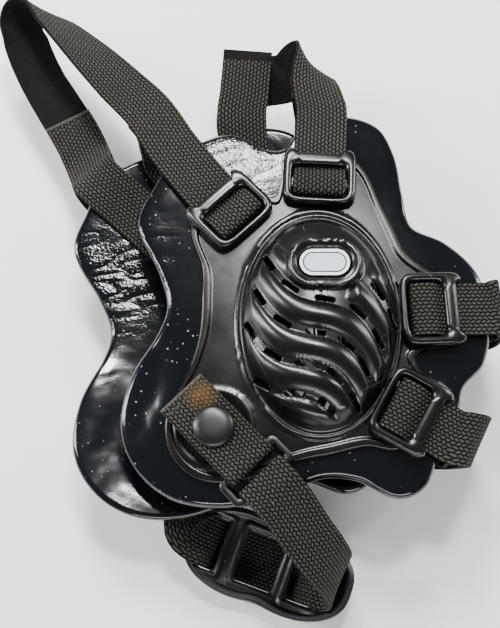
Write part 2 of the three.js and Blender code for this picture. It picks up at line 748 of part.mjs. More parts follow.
function strap(name) {
  const frame = FRAMES[name];
  const upper = frameRoute(frame, UPPER);
  const lower = frameRoute(frame, LOWER);
  const [from, to] = [upper[upper.length - 1], lower[lower.length - 1]];
  const heading = rad(frame.heading + LOWER_TURN / 2);
  const out = vec(Math.cos(heading), Math.sin(heading), 0);
  const side = vec(-out.y, out.x, 0);
  const middle = from.at.clone().add(to.at).multiplyScalar(0.5).setZ(0);
  const { reach, rows } = LOOPS[name];
  const half = STACK_HALF - WEBBING_THICKNESS / 2;
  const free = rows.map((row) => {
    const [roll, splay] = [rad(row.roll), rad(row.splay)];
    const raised = vec(0, 0, Math.cos(splay)).addScaledVector(out, Math.sin(splay));
    return {
      at: middle
        .clone()
        .addScaledVector(out, row.out * reach)
        .addScaledVector(side, row.side * reach)
        .setZ(row.up * half),
      across: side.clone().multiplyScalar(Math.cos(roll)).addScaledVector(raised, Math.sin(roll)),
    };
  });
  const loop = smoothed([from, ...free, to], 3 * (free.length + 1));
  return band([
    ...foldedEnd(upper, loop, frame.tuck[0], frame.lobe),
    ...upper,
    ...loop.slice(1, -1),
    ...lower.toReversed(),
    ...foldedEnd(lower, loop.toReversed(), frame.tuck[1], frame.lobe).toReversed(),
  ]);
}

// Heights over the shell's plate at the snap: the snap's base, the tab's two layers, the cap.
const SNAP_SEAT = PLATE_TOP + SOCKET_HEIGHT + SEAT_GAP;
const TAB_LOW = SNAP_SEAT + SNAP_BASE_HEIGHT + SEAT_GAP + WEBBING_THICKNESS / 2;
const TAB_TOP = TAB_LOW + WEBBING_THICKNESS + SEAT_GAP;
const CAP_SEAT = TAB_TOP + WEBBING_THICKNESS / 2 + SEAT_GAP;
const BAR_AHEAD = (SLIDER_DEPTH - SLIDER_BAR) / 2; // of a slider bar from the slider's middle
const WRAP = SLIDER_THICKNESS / 2 + SEAT_GAP + WEBBING_THICKNESS / 2;
const WRAP_SIDE = SLIDER_BAR / 2 + SEAT_GAP + WEBBING_THICKNESS / 2;
const SLIDER_LEVEL = (TAB_LOW + TAB_TOP) / 2;

// A point of the snap tab: ahead of the snap along the tab, aside, and at a height over the plate.
function tabPoint(ahead, aside, w) {
  const heading = rad(TAB_HEADING);
  const point = snapPoint(w);
  point.x += ahead * Math.cos(heading) - aside * Math.sin(heading);
  point.y += ahead * Math.sin(heading) + aside * Math.cos(heading);
  return point;
}

const tabStation = (ahead, w) => ({
  at: tabPoint(ahead, 0, w),
  across: tabPoint(0, 1, w).sub(tabPoint(0, 0, w)),
});

function snapHole(w) {
  const hole = new THREE.CylinderGeometry(
    SNAP_POST_RADIUS + SEAT_GAP,
    SNAP_POST_RADIUS + SEAT_GAP,
    4 * WEBBING_THICKNESS,
    12,
  );
  hole.rotateX(Math.PI / 2);
  hole.translate(...snapPoint(w).toArray());
  return solid(hole);
}

function snapTab() {
  const near = SLIDER_AHEAD - BAR_AHEAD;
  const spread = near - 2 * WRAP;
  const stations = [
    tabStation(-TAB_BEHIND + 1.5, TAB_LOW - 1.2),
    tabStation(-TAB_BEHIND * 0.6, TAB_LOW),
    tabStation(0, TAB_LOW),
    tabStation(spread, TAB_LOW),
    tabStation(near - SLIDER_BAR / 2, SLIDER_LEVEL - WRAP),
    tabStation(near + WRAP_SIDE * 0.88, SLIDER_LEVEL - WRAP * 0.88),
    tabStation(near + WRAP_SIDE, SLIDER_LEVEL),
    tabStation(near + WRAP_SIDE * 0.88, SLIDER_LEVEL + WRAP * 0.88),
    tabStation(near - SLIDER_BAR / 2, SLIDER_LEVEL + WRAP),
    tabStation(spread, TAB_TOP),
    tabStation(0, TAB_TOP),
    tabStation(-TAB_BEHIND * 0.6, TAB_TOP),
    tabStation(-TAB_BEHIND, TAB_TOP - 1.2),
  ];
  return solid(band(stations)).subtract(snapHole(SLIDER_LEVEL));
}

// A snap: a domed cap over the webbing, its post through it and its base on the shell's seat.
function snap(seat, capSeat) {
  const profile = [
    [0, seat],
    [SNAP_BASE_RADIUS, seat],
    [SNAP_BASE_RADIUS, seat + SNAP_BASE_HEIGHT],
    [SNAP_POST_RADIUS, seat + SNAP_BASE_HEIGHT],
    [SNAP_POST_RADIUS, capSeat],
    [SNAP_RADIUS, capSeat],
    [SNAP_RADIUS, capSeat + SNAP_EDGE],
    [SNAP_RADIUS * 0.86, capSeat + SNAP_EDGE + SNAP_DOME * 0.55],
    [SNAP_RADIUS * 0.5, capSeat + SNAP_EDGE + SNAP_DOME * 0.9],
    [0, capSeat + SNAP_EDGE + SNAP_DOME],
  ];
  const turned = new THREE.LatheGeometry(
    profile.map(([r, y]) => new THREE.Vector2(r, y)),
    16,
  );
  turned.rotateX(Math.PI / 2);
  const at = snapPoint(0);
  turned.translate(at.x, at.y, at.z);
  return solid(turned);
}

function slider() {
  const shape = roundedRectangle(SLIDER_DEPTH, SLIDER_LENGTH, SLIDER_BAR * 0.9);
  const [depth, length] = [SLIDER_DEPTH - 2 * SLIDER_BAR, SLIDER_LENGTH - 2 * SLIDER_BAR];
  shape.holes.push(roundedRectangle(depth, length, SLIDER_BAR / 4, new THREE.Path()));
  const bevel = 0.6;
  const geometry = new THREE.ExtrudeGeometry(shape, {
    depth: SLIDER_THICKNESS - 2 * bevel,
    bevelThickness: bevel,
    bevelSize: bevel,
    bevelOffset: -bevel,
    bevelSegments: 1,
    curveSegments: 1,
  });
  geometry.translate(0, 0, bevel - SLIDER_THICKNESS / 2);
  geometry.rotateZ(rad(TAB_HEADING));
  geometry.translate(...tabPoint(SLIDER_AHEAD, 0, SLIDER_LEVEL).toArray());
  return solid(geometry);
}

// Chin cup slots along its length: from and to are shares of the cup's length.
const CUP_SLOTS = [
  { from: -0.39, to: -0.285 },
  { from: -0.165, to: 0.07 },
  { from: 0.145, to: 0.31 },
];
const CUP_SLOT_WIDTH = WEBBING_WIDTH + 3;
const CUP_FLOOR = -STACK_HALF + SEAT_GAP + WEBBING_THICKNESS + 2 * FIT;

// The chin cup's underside at a place along and across it.
function cupUnder(along, across) {
  const rise = CHIN_CUP_RISE * (along / (CHIN_CUP_LENGTH / 2)) ** 2;
  return CUP_FLOOR + rise + CHIN_CUP_SIDE_RISE * (across / (CHIN_CUP_WIDTH / 2)) ** 2;
}

// A place on the chin cup in the part's frame.
function onChinCup(along, across, z) {
  const turn = rad(CHIN_CUP_TURN);
  return vec(
    CHIN_CUP_X + along * Math.cos(turn) - across * Math.sin(turn),
    CHIN_CUP_Y + along * Math.sin(turn) + across * Math.cos(turn),
    z,
  );
}

function chinCup() {
  const columns = 32;
  const waist = 0.1;
  const outline = (angle) => {
    const [c, k] = [Math.abs(Math.cos(angle)), Math.abs(Math.sin(angle))];
    const reach = ((2 * c) / CHIN_CUP_LENGTH) ** 2.6 + ((2 * k) / CHIN_CUP_WIDTH) ** 2.6;
    return reach ** (-1 / 2.6) * (1 - waist * k ** 8);
  };
  const ring = (share, inset, lift) =>
    Array.from({ length: columns }, (_, j) => {
      const angle = (2 * Math.PI * j) / columns;
      const reach = outline(angle) * share - inset;
      const [along, across] = [reach * Math.cos(angle), reach * Math.sin(angle)];
      return onChinCup(along, across, cupUnder(along, across) + lift);
    });
  const thick = CHIN_CUP_THICKNESS;
  const rings = [
    ring(0.6, 0, thick),
    ring(1, 1.8, thick),
    ring(1, 0, thick * 0.5),
    ring(1, 1.8, 0),
    ring(0.6, 0, 0),
  ];
  const floor = cupUnder(0, 0);
  let cup = solid(surface(rings, [onChinCup(0, 0, floor + thick), onChinCup(0, 0, floor)]));
  for (const slot of CUP_SLOTS) {
    const length = (slot.to - slot.from) * CHIN_CUP_LENGTH;
    const middle = ((slot.from + slot.to) / 2) * CHIN_CUP_LENGTH;
    const cut = roundedRectangle(length, CUP_SLOT_WIDTH, 2.4);
    const geometry = new THREE.ExtrudeGeometry(cut, {
      depth: 2 * STACK_HALF,
      bevelEnabled: false,
      curveSegments: 1,
    });
    geometry.rotateZ(rad(CHIN_CUP_TURN));
    const at = onChinCup(middle, 0, -STACK_HALF - 5);
    geometry.translate(at.x, at.y, at.z);
    cup = cup.subtract(solid(geometry));
  }
  return cup;
}

// The chin strap between the slider and the chin cup: along and across are shares of the cup's
// length in the cup's own axes, up is a share of the folded guard's half height, turn degrees.
const CHIN_FALL = [
  { along: 0.0, across: 0.285, up: 0.57, turn: -25 },
  { along: 0.14, across: 0.19, up: 0.42, turn: -20 },
  { along: 0.29, across: 0.105, up: 0.2, turn: -12 },
  { along: 0.4, across: 0.06, up: -0.06, turn: -6 },
  { along: 0.44, across: 0.035, up: -0.28, turn: -3 },
  { along: 0.415, across: 0.01, up: -0.45, turn: 0 },
];

// From the chin cup to the lower snap, in the same measures.
const CHIN_RETURN = [
  { along: -0.48, across: 0.02, up: -0.455, turn: -16 },
  { along: -0.525, across: 0.1, up: -0.5, turn: -34 },
];

function chinStations(rows) {
  return rows.map(({ along, across, up, turn }) => {
    const heading = rad(CHIN_CUP_TURN + turn + 90);
    return {
      at: onChinCup(along * CHIN_CUP_LENGTH, across * CHIN_CUP_LENGTH, up * STACK_HALF),
      across: vec(Math.cos(heading), Math.sin(heading), 0),
    };
  });
}

// The webbing's way through the chin cup: down the first slot, under it, and up the last one.
function throughCup() {
  const edge = WEBBING_WIDTH / 2;
  const half = WEBBING_THICKNESS / 2;
  const under = (share) => ({
    along: share,
    z: cupUnder(share * CHIN_CUP_LENGTH, 0) - FIT - half,
  });
  const over = (share) => ({
    along: share,
    z: cupUnder(share * CHIN_CUP_LENGTH, edge) + CHIN_CUP_THICKNESS + 3 * FIT + half,
  });
  const rows = [
    over(0.36),
    over(0.285),
    under(0.17),
    under(0.12),
    under(0.05),
    under(-0.05),
    under(-0.15),
    under(-0.25),
    under(-0.3),
    over(-0.365),
    over(-0.42),
  ];
  return rows.map(({ along, z }) => ({
    at: onChinCup(along * CHIN_CUP_LENGTH, 0, z),
    across: onChinCup(0, 1, 0).sub(onChinCup(0, 0, 0)),
  }));
}

function chinStrap() {
  const far = SLIDER_AHEAD + BAR_AHEAD;
  const wrap = [
    tabStation(far + 14, SLIDER_LEVEL - WRAP - 1.4),
    tabStation(far + 8, SLIDER_LEVEL - WRAP - 0.4),
    tabStation(far, SLIDER_LEVEL - WRAP),
    tabStation(far - WRAP_SIDE * 0.88, SLIDER_LEVEL - WRAP * 0.88),
    tabStation(far - WRAP_SIDE, SLIDER_LEVEL),
    tabStation(far - WRAP_SIDE * 0.88, SLIDER_LEVEL + WRAP * 0.88),
    tabStation(far, SLIDER_LEVEL + WRAP),
    tabStation(far + 8, SLIDER_LEVEL + WRAP),
  ];
  const snapWay = (ahead) => {
    const at = snapPoint(TAB_LOW).applyMatrix4(LOWER);
    const heading = rad(CHIN_CUP_TURN - 37);
    at.x += ahead * Math.cos(heading);
    at.y += ahead * Math.sin(heading);
    return { at, across: vec(-Math.sin(heading), Math.cos(heading), 0) };
  };
  const through = throughCup();
  const fall = smoothed([wrap[wrap.length - 1], ...chinStations(CHIN_FALL), through[0]], 28);
  const ahead = [26, 14, 0, -12, -20].map(snapWay);
  const back = smoothed([through[through.length - 1], ...chinStations(CHIN_RETURN), ahead[0]], 16);
  const stations = [
    ...wrap,
    ...fall.slice(1, -1),
    ...through,
    ...back.slice(1, -1),
    ...ahead,
  ];
  const hole = snapHole(TAB_LOW).transform(LOWER.toArray());
  return solid(band(stations)).subtract(hole);
}

function badge() {
  const top = RING_TOP - RING_RECESS;
  return flatExtrusion(stadium(BADGE_LENGTH, BADGE_WIDTH), top - BADGE_THICKNESS, top, 0);
}

const MATERIALS = {
  vinyl: { color: 0x14171a, roughness: 0.28, metalness: 0 },
  plastic: { color: 0x1b1b19, roughness: 0.25, metalness: 0 },
  webbing: { color: 0x2f2d29, roughness: 0.9, metalness: 0 },
  snap: { color: 0x4a4a48, roughness: 0.35, metalness: 0.6 },
  badge: { color: 0xe9ecef, roughness: 0.4, metalness: 0 },
};

function mesh(name, geometry, material) {
  const made = new THREE.Mesh(geometry, new THREE.MeshStandardMaterial(MATERIALS[material]));
  made.name = name;
  return made;
}

const guard = new THREE.Group();
const guards = { upper: UPPER, lower: LOWER };
const pieces = { pad: earPad(), shell: shell(), badge: badge() };
for (const [side, matrix] of Object.entries(guards)) {
  const half = new THREE.Group();
  half.applyMatrix4(matrix);
  half.add(mesh(`ear_pad_${side}`, geometryOf(pieces.pad), "vinyl"));
  half.add(mesh(`ear_shell_${side}`, geometryOf(pieces.shell), "plastic"));
  half.add(mesh(`badge_${side}`, geometryOf(pieces.badge), "badge"));
  guard.add(half);
}
for (const name of Object.keys(FRAMES)) {
  guard.add(mesh(`${name}_strap`, strap(name), "webbing"));
}
const lowerCapSeat = TAB_LOW + WEBBING_THICKNESS / 2 + SEAT_GAP;
guard.add(mesh("snap_tab", geometryOf(snapTab()), "webbing"));
guard.add(mesh("snap_upper", geometryOf(snap(SNAP_SEAT, CAP_SEAT)), "snap"));
guard.add(mesh("slider", geometryOf(slider()), "plastic"));
guard.add(mesh("chin_strap", geometryOf(chinStrap()), "webbing"));
guard.add(mesh("chin_cup", geometryOf(chinCup()), "vinyl"));
const lowerSnap = mesh("snap_lower", geometryOf(snap(SNAP_SEAT, lowerCapSeat)), "snap");
lowerSnap.applyMatrix4(LOWER);
guard.add(lowerSnap);

// The origin is below the middle of the whole, on the ground.
const bounds = new THREE.Box3().setFromObject(guard, true);
const middle = bounds.getCenter(vec());
guard.position.set(-middle.x, -middle.y, -bounds.min.z);

export default guard;
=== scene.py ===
# A wrestling ear guard, folded on a table: two padded shells facing each other, joined by webbing.
# Shapes are drawn in millimetres round the upper guard's ear and then put into the frame in metres.
import math

import bmesh
import bpy
from mathutils import Matrix, Vector


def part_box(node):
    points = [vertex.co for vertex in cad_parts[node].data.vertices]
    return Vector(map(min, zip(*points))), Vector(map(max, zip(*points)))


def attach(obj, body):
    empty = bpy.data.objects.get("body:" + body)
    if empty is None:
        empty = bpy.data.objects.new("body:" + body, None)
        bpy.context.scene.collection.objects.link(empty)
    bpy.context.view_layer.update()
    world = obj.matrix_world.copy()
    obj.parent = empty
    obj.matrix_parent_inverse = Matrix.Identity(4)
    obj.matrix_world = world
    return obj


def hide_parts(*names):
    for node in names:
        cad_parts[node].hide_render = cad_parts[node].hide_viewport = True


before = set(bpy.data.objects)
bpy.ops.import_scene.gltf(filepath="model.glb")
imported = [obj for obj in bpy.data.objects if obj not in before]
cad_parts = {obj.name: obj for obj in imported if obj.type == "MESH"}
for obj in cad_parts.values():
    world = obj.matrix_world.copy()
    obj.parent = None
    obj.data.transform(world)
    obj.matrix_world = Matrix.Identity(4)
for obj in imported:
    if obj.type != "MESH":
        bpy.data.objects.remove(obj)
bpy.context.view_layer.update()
MM = 0.001

# Camera: 75 degrees above the floor, as the photograph was taken
VIEW_TARGET = Vector((4.9, -14.1, 50.9)) * MM
VIEW_DISTANCE = 520 * MM
VIEW_ELEVATION = math.radians(75)
VIEW_LENS = 62.1
VIEW_SENSOR = 36

camera_data = bpy.data.cameras.new("camera")
camera_data.sensor_fit = "VERTICAL"
camera_data.sensor_height = VIEW_SENSOR
camera_data.lens = VIEW_LENS
camera = bpy.data.objects.new("camera", camera_data)
bpy.context.scene.collection.objects.link(camera)
back = Vector((0, -math.cos(VIEW_ELEVATION), math.sin(VIEW_ELEVATION)))
camera.location = VIEW_TARGET + back * VIEW_DISTANCE
camera.rotation_euler = (math.pi / 2 - VIEW_ELEVATION, 0, 0)
bpy.context.scene.camera = camera

# Webbing
WEBBING_WIDTH = 25.4
WEBBING_THICKNESS = 1.8
FIT = 0.4
# Loop tape lines the inner faces from this far beyond the longer folded-back end, its dark colour there
# also painting the shade on the loops' inner sides, and the crown strap's cut ends show it on both faces
TAPE_AND_SHADE_BEYOND = 16
CROWN_TIP_TAPE = 6

# Ear pad
PAD_REACH = 112
PAD_THICKNESS = 9
PAD_ROUNDING = 3.4
# The free lower margin curls down: mm for each square mm beyond the shell, the most that it comes to,
# and the guard's own y between which it fades out
PAD_CURL = 0.006
PAD_CURL_MOST = 1.6
PAD_CURL_FADE = (-30, 10)
EAR_OPENING_WIDTH = 58
EAR_OPENING_HEIGHT = 84

# Shell and its ear cup
SHELL_REACH = 93
SHELL_THICKNESS = 2
SEAT_GAP = 0.3
CUP_WIDTH = 71
CUP_HEIGHT = 102
CUP_DEPTH = 16
RIB_PITCH = CUP_HEIGHT / 6.845
VENT_LENGTH = 9.5
VENT_WIDTH = 2.5

# Badge and its ring
BADGE_LENGTH = 22.8
BADGE_WIDTH = 12.4
BADGE_THICKNESS = 1.2
BADGE_X = 2
BADGE_Y = 23
RING_HEIGHT = 3
RING_RECESS = 1.6

# Strap frames
FRAME_DEPTH = 27
FRAME_HEIGHT = 6.2
FRAME_SIDE_BAR = 4.4
FRAME_OUTER_BAR = 6.3
FRAME_INNER_BAR = 3.2
CENTRE_BAR_WIDTH = 6
FRAME_LUG = 4.2
CENTRE_BAR_RISE = 2.4

# How the guards lie
GUARD_CROWN = 10
GUARD_SPAN = 118
HALF_FOLD = 2.6
LOWER_SHIFT_X = -29
LOWER_SHIFT_Y = 0.5
LOWER_TURN = math.radians(5.5)

# Snap, tab and slider
SNAP_RADIUS = 9.5
SNAP_EDGE = 1
SNAP_DOME = 2
SNAP_POST_RADIUS = 2.6
SNAP_BASE_RADIUS = 5.6
SNAP_BASE_HEIGHT = 1.2
SOCKET_HEIGHT = 1.2
TAB_HEADING = math.radians(-46)
TAB_BEHIND = 22
SLIDER_AHEAD = 27.4
SLIDER_LENGTH = 35
SLIDER_DEPTH = 14.6
SLIDER_BAR = 3.4
SLIDER_THICKNESS = 2.4
# A turn round a bar has its corners at this share of its own reach.
TURN_CORNER = 0.88

# Chin cup
CHIN_CUP_LENGTH = 84
CHIN_CUP_WIDTH = 45
CHIN_CUP_THICKNESS = 4.6
CHIN_CUP_RISE = 13
CHIN_CUP_SIDE_RISE = 5
CHIN_CUP_X = -23
CHIN_CUP_Y = -108
CHIN_CUP_TURN = math.radians(-20)
# The rounding of its edge, the power of its outline's superellipse, and its raised rims' height
CHIN_CUP_ROUNDING = 2.1
CHIN_CUP_POWER = 2.6
CHIN_CUP_BEAD = 1.1

FRAME_WINDOW = WEBBING_WIDTH + 2 * FIT + 0.2
FRAME_WIDTH = FRAME_WINDOW + 2 * FRAME_SIDE_BAR
PLATE_BOTTOM = PAD_THICKNESS + SEAT_GAP
PLATE_TOP = PLATE_BOTTOM + SHELL_THICKNESS
RING_TOP = PLATE_TOP + CUP_DEPTH + RING_HEIGHT
STACK_HALF = HALF_FOLD + GUARD_CROWN + RING_TOP
WINDOW_HALF = (FRAME_DEPTH - FRAME_OUTER_BAR - FRAME_INNER_BAR) / 2
OUTER_BAR_END = WINDOW_HALF + FRAME_OUTER_BAR
GAP_MIDDLE = (WINDOW_HALF + CENTRE_BAR_WIDTH / 2) / 2
PAD_SLOT = WINDOW_HALF - CENTRE_BAR_WIDTH / 2
LAY_OVER = PLATE_TOP + FIT + 0.2 + WEBBING_THICKNESS / 2
LAY_UNDER = -2 * FIT - WEBBING_THICKNESS / 2
CORNER = 1.3

# Outlines round the ear's centre: direction in degrees and share of the piece's own reach
PAD_OUTLINE = [
    (2, 0.725), (18, 0.725), (33, 0.665), (47, 0.6), (58, 0.71), (66, 0.86), (73, 0.965),
    (84, 0.985), (92, 0.955), (99, 0.825), (106, 0.845), (112, 0.955), (120, 0.99), (129, 1.0),
    (138, 0.955), (149, 0.905), (160, 0.73), (172, 0.645), (184, 0.685), (196, 0.82),
    (208, 0.935), (219, 0.97), (230, 0.945), (242, 0.86), (256, 0.735), (270, 0.645),
    (284, 0.675), (294, 0.79), (303, 0.8), (313, 0.72), (325, 0.7), (336, 0.66), (347, 0.715),
]
SHELL_OUTLINE = [
    (4, 0.715), (17, 0.7), (28, 0.61), (40, 0.58), (52, 0.63), (64, 0.73), (76, 0.9),
    (88, 0.955), (99, 0.9), (106, 0.72), (111, 0.725), (118, 0.85), (130, 0.9), (142, 0.82),
    (153, 0.66), (167, 0.6), (181, 0.59), (193, 0.63), (203, 0.72), (212, 0.89), (220, 0.975),
    (228, 0.995), (236, 0.96), (246, 0.85), (259, 0.715), (274, 0.665), (290, 0.665),
    (300, 0.74), (313, 0.77), (326, 0.69), (335, 0.53), (343, 0.53), (351, 0.68),
]

# Strap frames: direction, distance of the frame's middle, heading of the strap, the pad's lobe beyond
# that middle, and how far the strap's folded-back ends reach on the upper and the lower guard.
# stiff_lean is the angle by which a stiff lower end leans as it stands straight out, or None where
# the end lies on the band. veer is how far the strap swings sideways over the upper guard's lobe.
FRAMES = {
    "front": {
        "deg": 126.8, "reach": 65.9, "heading": 133, "lobe": 50, "tuck": (66, 90),
        "stiff_lean": None, "veer": -3.6,
    },
    "crown": {
        "deg": 88.9, "reach": 69, "heading": 87, "lobe": 43, "tuck": (63, 80),
        "stiff_lean": -7, "veer": 0,
    },
    "back_upper": {
        "deg": 6, "reach": 50, "heading": 3, "lobe": 34, "tuck": (40, 40),
        "stiff_lean": None, "veer": 0,
    },
    "back_lower": {
        "deg": 312.9, "reach": 56, "heading": -29, "lobe": 28, "tuck": (31, 31),
        "stiff_lean": None, "veer": 0,
    },
}
SNAP_PLACE = {"deg": 226, "reach": 69.5}

# Free loops: out and side as shares of the strap's reach, up as a share of half the height,
# roll and splay in degrees
LOOPS = {
    "front": (112, [
        (0.1, -0.2, 0.33, 6, 0),
        (0.3, -0.213, 0.26, 14, 0),
        (0.476, -0.226, 0.2, 26, 6),
        (0.63, -0.237, 0.13, 38, 12),
        (0.785, -0.244, 0.06, 50, 18),
        (0.89, -0.246, -0.02, 66, 22),
        (0.955, -0.19, -0.14, 86, 26),
        (0.94, -0.145, -0.24, 70, 40),
        (0.875, -0.11, -0.3, 46, 50),
        (0.8, -0.075, -0.35, 32, 46),
        (0.683, -0.033, -0.39, 20, 30),
        (0.516, 0.01, -0.42, 8, 10),
        (0.33, 0.06, -0.44, 0, 0),
    ]),
    "crown": (60, [
        (0.25, -0.29, 0.29, 14, 20),
        (0.46, -0.27, 0.16, 40, 40),
        (0.55, -0.19, 0.02, 70, 50),
        (0.45, -0.06, -0.08, 84, 58),
        (0.44, 0.12, -0.17, 80, 66),
        (0.43, 0.25, -0.24, 60, 66),
        (0.31, 0.315, -0.3, 22, 50),
        (0.1, 0.345, -0.35, 0, 0),
    ]),
    "back_upper": (30, [
        (0.6, -0.14, 0.43, 0, 0),
        (0.67, -0.16, 0.06, 0, 0),
        (0.61, -0.17, -0.34, 0, 0),
        (0.3, -0.08, -0.64, 0, 0),
    ]),
    "back_lower": (40, [
        (0.45, 0.1, 0.48, 0, 0),
        (0.57, 0.17, 0.32, 0, 0),
        (0.61, 0.22, 0.06, 0, 0),
        (0.6, 0.24, -0.24, 0, 0),
        (0.45, 0.2, -0.5, 0, 0),
        (0.12, 0.08, -0.6, 0, 0),
    ]),
}


# Where things lie

def outline_reach(rows, scale):
    """A closed outline's reach in any direction: a smooth curve through the rows of its table."""
    count = len(rows)

    def at(i):
        deg, reach = rows[i % count]
        return deg + 360 * (i // count), reach * scale

    def slope(i):
        (deg_a, reach_a), (deg_b, reach_b) = at(i - 1), at(i + 1)
        return (reach_b - reach_a) / (deg_b - deg_a)

    def reach(angle):
        deg = math.degrees(angle) % 360
        if deg < rows[0][0]:
            deg += 360
        i = 0
        while at(i + 1)[0] < deg:
            i += 1
        (deg_a, reach_a), (deg_b, reach_b) = at(i), at(i + 1)
        span = deg_b - deg_a
        t = (deg - deg_a) / span
        t2, t3 = t * t, t * t * t
        return (
            (2 * t3 - 3 * t2 + 1) * reach_a
            + (t3 - 2 * t2 + t) * span * slope(i)
            + (3 * t2 - 2 * t3) * reach_b
            + (t3 - t2) * span * slope(i + 1)
        )

    return reach


pad_reach = outline_reach(PAD_OUTLINE, PAD_REACH)
shell_reach = outline_reach(SHELL_OUTLINE, SHELL_REACH)


def ellipse_reach(width, height, angle):
    return 1 / math.hypot(math.cos(angle) * 2 / width, math.sin(angle) * 2 / height)


def bend(x, y, w):
    """A guard is drawn flat, then bent: its middle stands off the fold, its edge lies near it."""
    crown = GUARD_CROWN * (1 - (x * x + y * y) / GUARD_SPAN**2)
    return Vector((x, y, HALF_FOLD + max(crown, 0) + w))


def smoothstep(low, high, value):
    t = min(max((value - low) / (high - low), 0), 1)
    return t * t * (3 - 2 * t)


def place_on(strap_frame):
    """Flat guard coordinates beside a strap frame: along its strap, then across it."""
    deg, heading = math.radians(strap_frame["deg"]), math.radians(strap_frame["heading"])
    x, y = strap_frame["reach"] * math.cos(deg), strap_frame["reach"] * math.sin(deg)
    c, s = math.cos(heading), math.sin(heading)
    return lambda along, across: (x + along * c - across * s, y + along * s + across * c)


# The upper badge's place in the frame says where the ear's centre is.
badge_low, badge_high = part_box("badge_upper")
badge_middle = (badge_low + badge_high) / 2 / MM
BADGE_LEVEL = HALF_FOLD + GUARD_CROWN + RING_TOP - RING_RECESS - BADGE_THICKNESS / 2
TO_FRAME = Matrix.Translation(badge_middle - Vector((BADGE_X, BADGE_Y, BADGE_LEVEL)))
UPPER = Matrix.Identity(4)
LOWER = (
    Matrix.Translation((LOWER_SHIFT_X, LOWER_SHIFT_Y, 0))
    @ Matrix.Rotation(LOWER_TURN, 4, "Z")
    @ Matrix.Diagonal((1, 1, -1, 1))
)


# Making and placing meshes

def lattice(columns, rows, place, lay=None):
    """A grid sheet whose point in column j and row i goes to place(j, i). lay gives its map in mm."""
    bm = bmesh.new()
    bmesh.ops.create_grid(bm, x_segments=columns, y_segments=rows, size=0.5)
    index = {}
    for vert in bm.verts:
        index[vert] = (
            round((vert.co.x + 0.5) * columns),
            round((vert.co.y + 0.5) * rows),
        )
    if lay:
        uv = bm.loops.layers.uv.new("lay")
        for face in bm.faces:
            for loop in face.loops:
                loop[uv].uv = lay(*index[loop.vert])
    for vert in bm.verts:
        vert.co = place(*index[vert])
    bmesh.ops.remove_doubles(bm, verts=bm.verts[:], dist=0.0005)
    return bm


def close(bm):
    """Open ends are closed and all faces turned outwards."""
    rims = [edge for edge in bm.edges if edge.is_boundary]
    if rims:
        bmesh.ops.holes_fill(bm, edges=rims)
    bmesh.ops.recalc_face_normals(bm, faces=bm.faces[:])


def piece(name, bm, material, matrix=UPPER, sharp=40):
    """A bmesh drawn in mm becomes an object of the frame, in metres, at the origin."""
    bmesh.ops.transform(bm, matrix=TO_FRAME @ matrix, verts=bm.verts[:])
    bmesh.ops.scale(bm, vec=(MM, MM, MM), verts=bm.verts[:])
    if matrix.determinant() < 0:
        bmesh.ops.reverse_faces(bm, faces=bm.faces[:])
    mesh = bpy.data.meshes.new(name)
    bm.to_mesh(mesh)
    bm.free()
    mesh.shade_smooth()
    mesh.set_sharp_from_angle(angle=math.radians(sharp))
    mesh.materials.append(material)
    made = bpy.data.objects.new(name, mesh)
    bpy.context.scene.collection.objects.link(made)
    return made


# Materials

def linear(code):
    """An sRGB hex colour as linear RGBA."""
    channels = [int(code[i : i + 2], 16) / 255 for i in (1, 3, 5)]
    return [*(c / 12.92 if c <= 0.04045 else ((c + 0.055) / 1.055) ** 2.4 for c in channels), 1]


def feed(tree, node, inputs):
    """Fills a node's inputs: each with a value, a hex colour, or a node or an output to link from."""
    for socket, source in inputs.items():
        if isinstance(source, bpy.types.Node):
            source = source.outputs[0]
        if isinstance(source, bpy.types.NodeSocket):
            tree.links.new(source, node.inputs[socket])
        elif isinstance(source, str):
            node.inputs[socket].default_value = linear(source)
        else:
            node.inputs[socket].default_value = source


def add(tree, kind, inputs=(), **settings):
    """A shader node with its settings and its inputs, which are named or stand in their order."""
    made = tree.nodes.new("ShaderNode" + kind)
    for name, value in settings.items():
        setattr(made, name, value)
    feed(tree, made, inputs if isinstance(inputs, dict) else dict(enumerate(inputs)))
    return made


def material(name, **settings):
    """A new material, its nodes and its shader, with settings by the shader's socket names."""
    made = bpy.data.materials.new(name)
    made.use_nodes = True
    shader = made.node_tree.nodes["Principled BSDF"]
    feed(made.node_tree, shader, {key.replace("_", " "): value for key, value in settings.items()})
    return made, made.node_tree, shader


def specks(tree, place, pitch_mm, size):
    """Small dots of dust: 1 where a dot is, 0 elsewhere. Size is a share of the pitch."""
    cells = add(tree, "TexVoronoi", {"Vector": place, "Scale": 1000 / pitch_mm})
    chance = add(tree, "SeparateColor", {"Color": cells.outputs["Color"]})
    rare = add(tree, "Math", (chance, 3), operation="POWER")
    wanted = add(tree, "Math", (rare, size), operation="MULTIPLY")
    return add(tree, "Math", (cells.outputs["Distance"], wanted), operation="LESS_THAN")


# PVC-dipped foam: a blue-black vinyl skin, glossy, dented, creased where it is often pressed, with
# dust on it. Creased zones: middle in the frame, reach and depth, in mm.
CREASED = [(-62, 8, 42, 1.0), (-5, 62, 34, 1.0)]
CREASE_SPACING = 4.2
CREASE_DEPTH = 0.9
CRINKLE_SPACING = 1.3
DENT_SPACING = 24


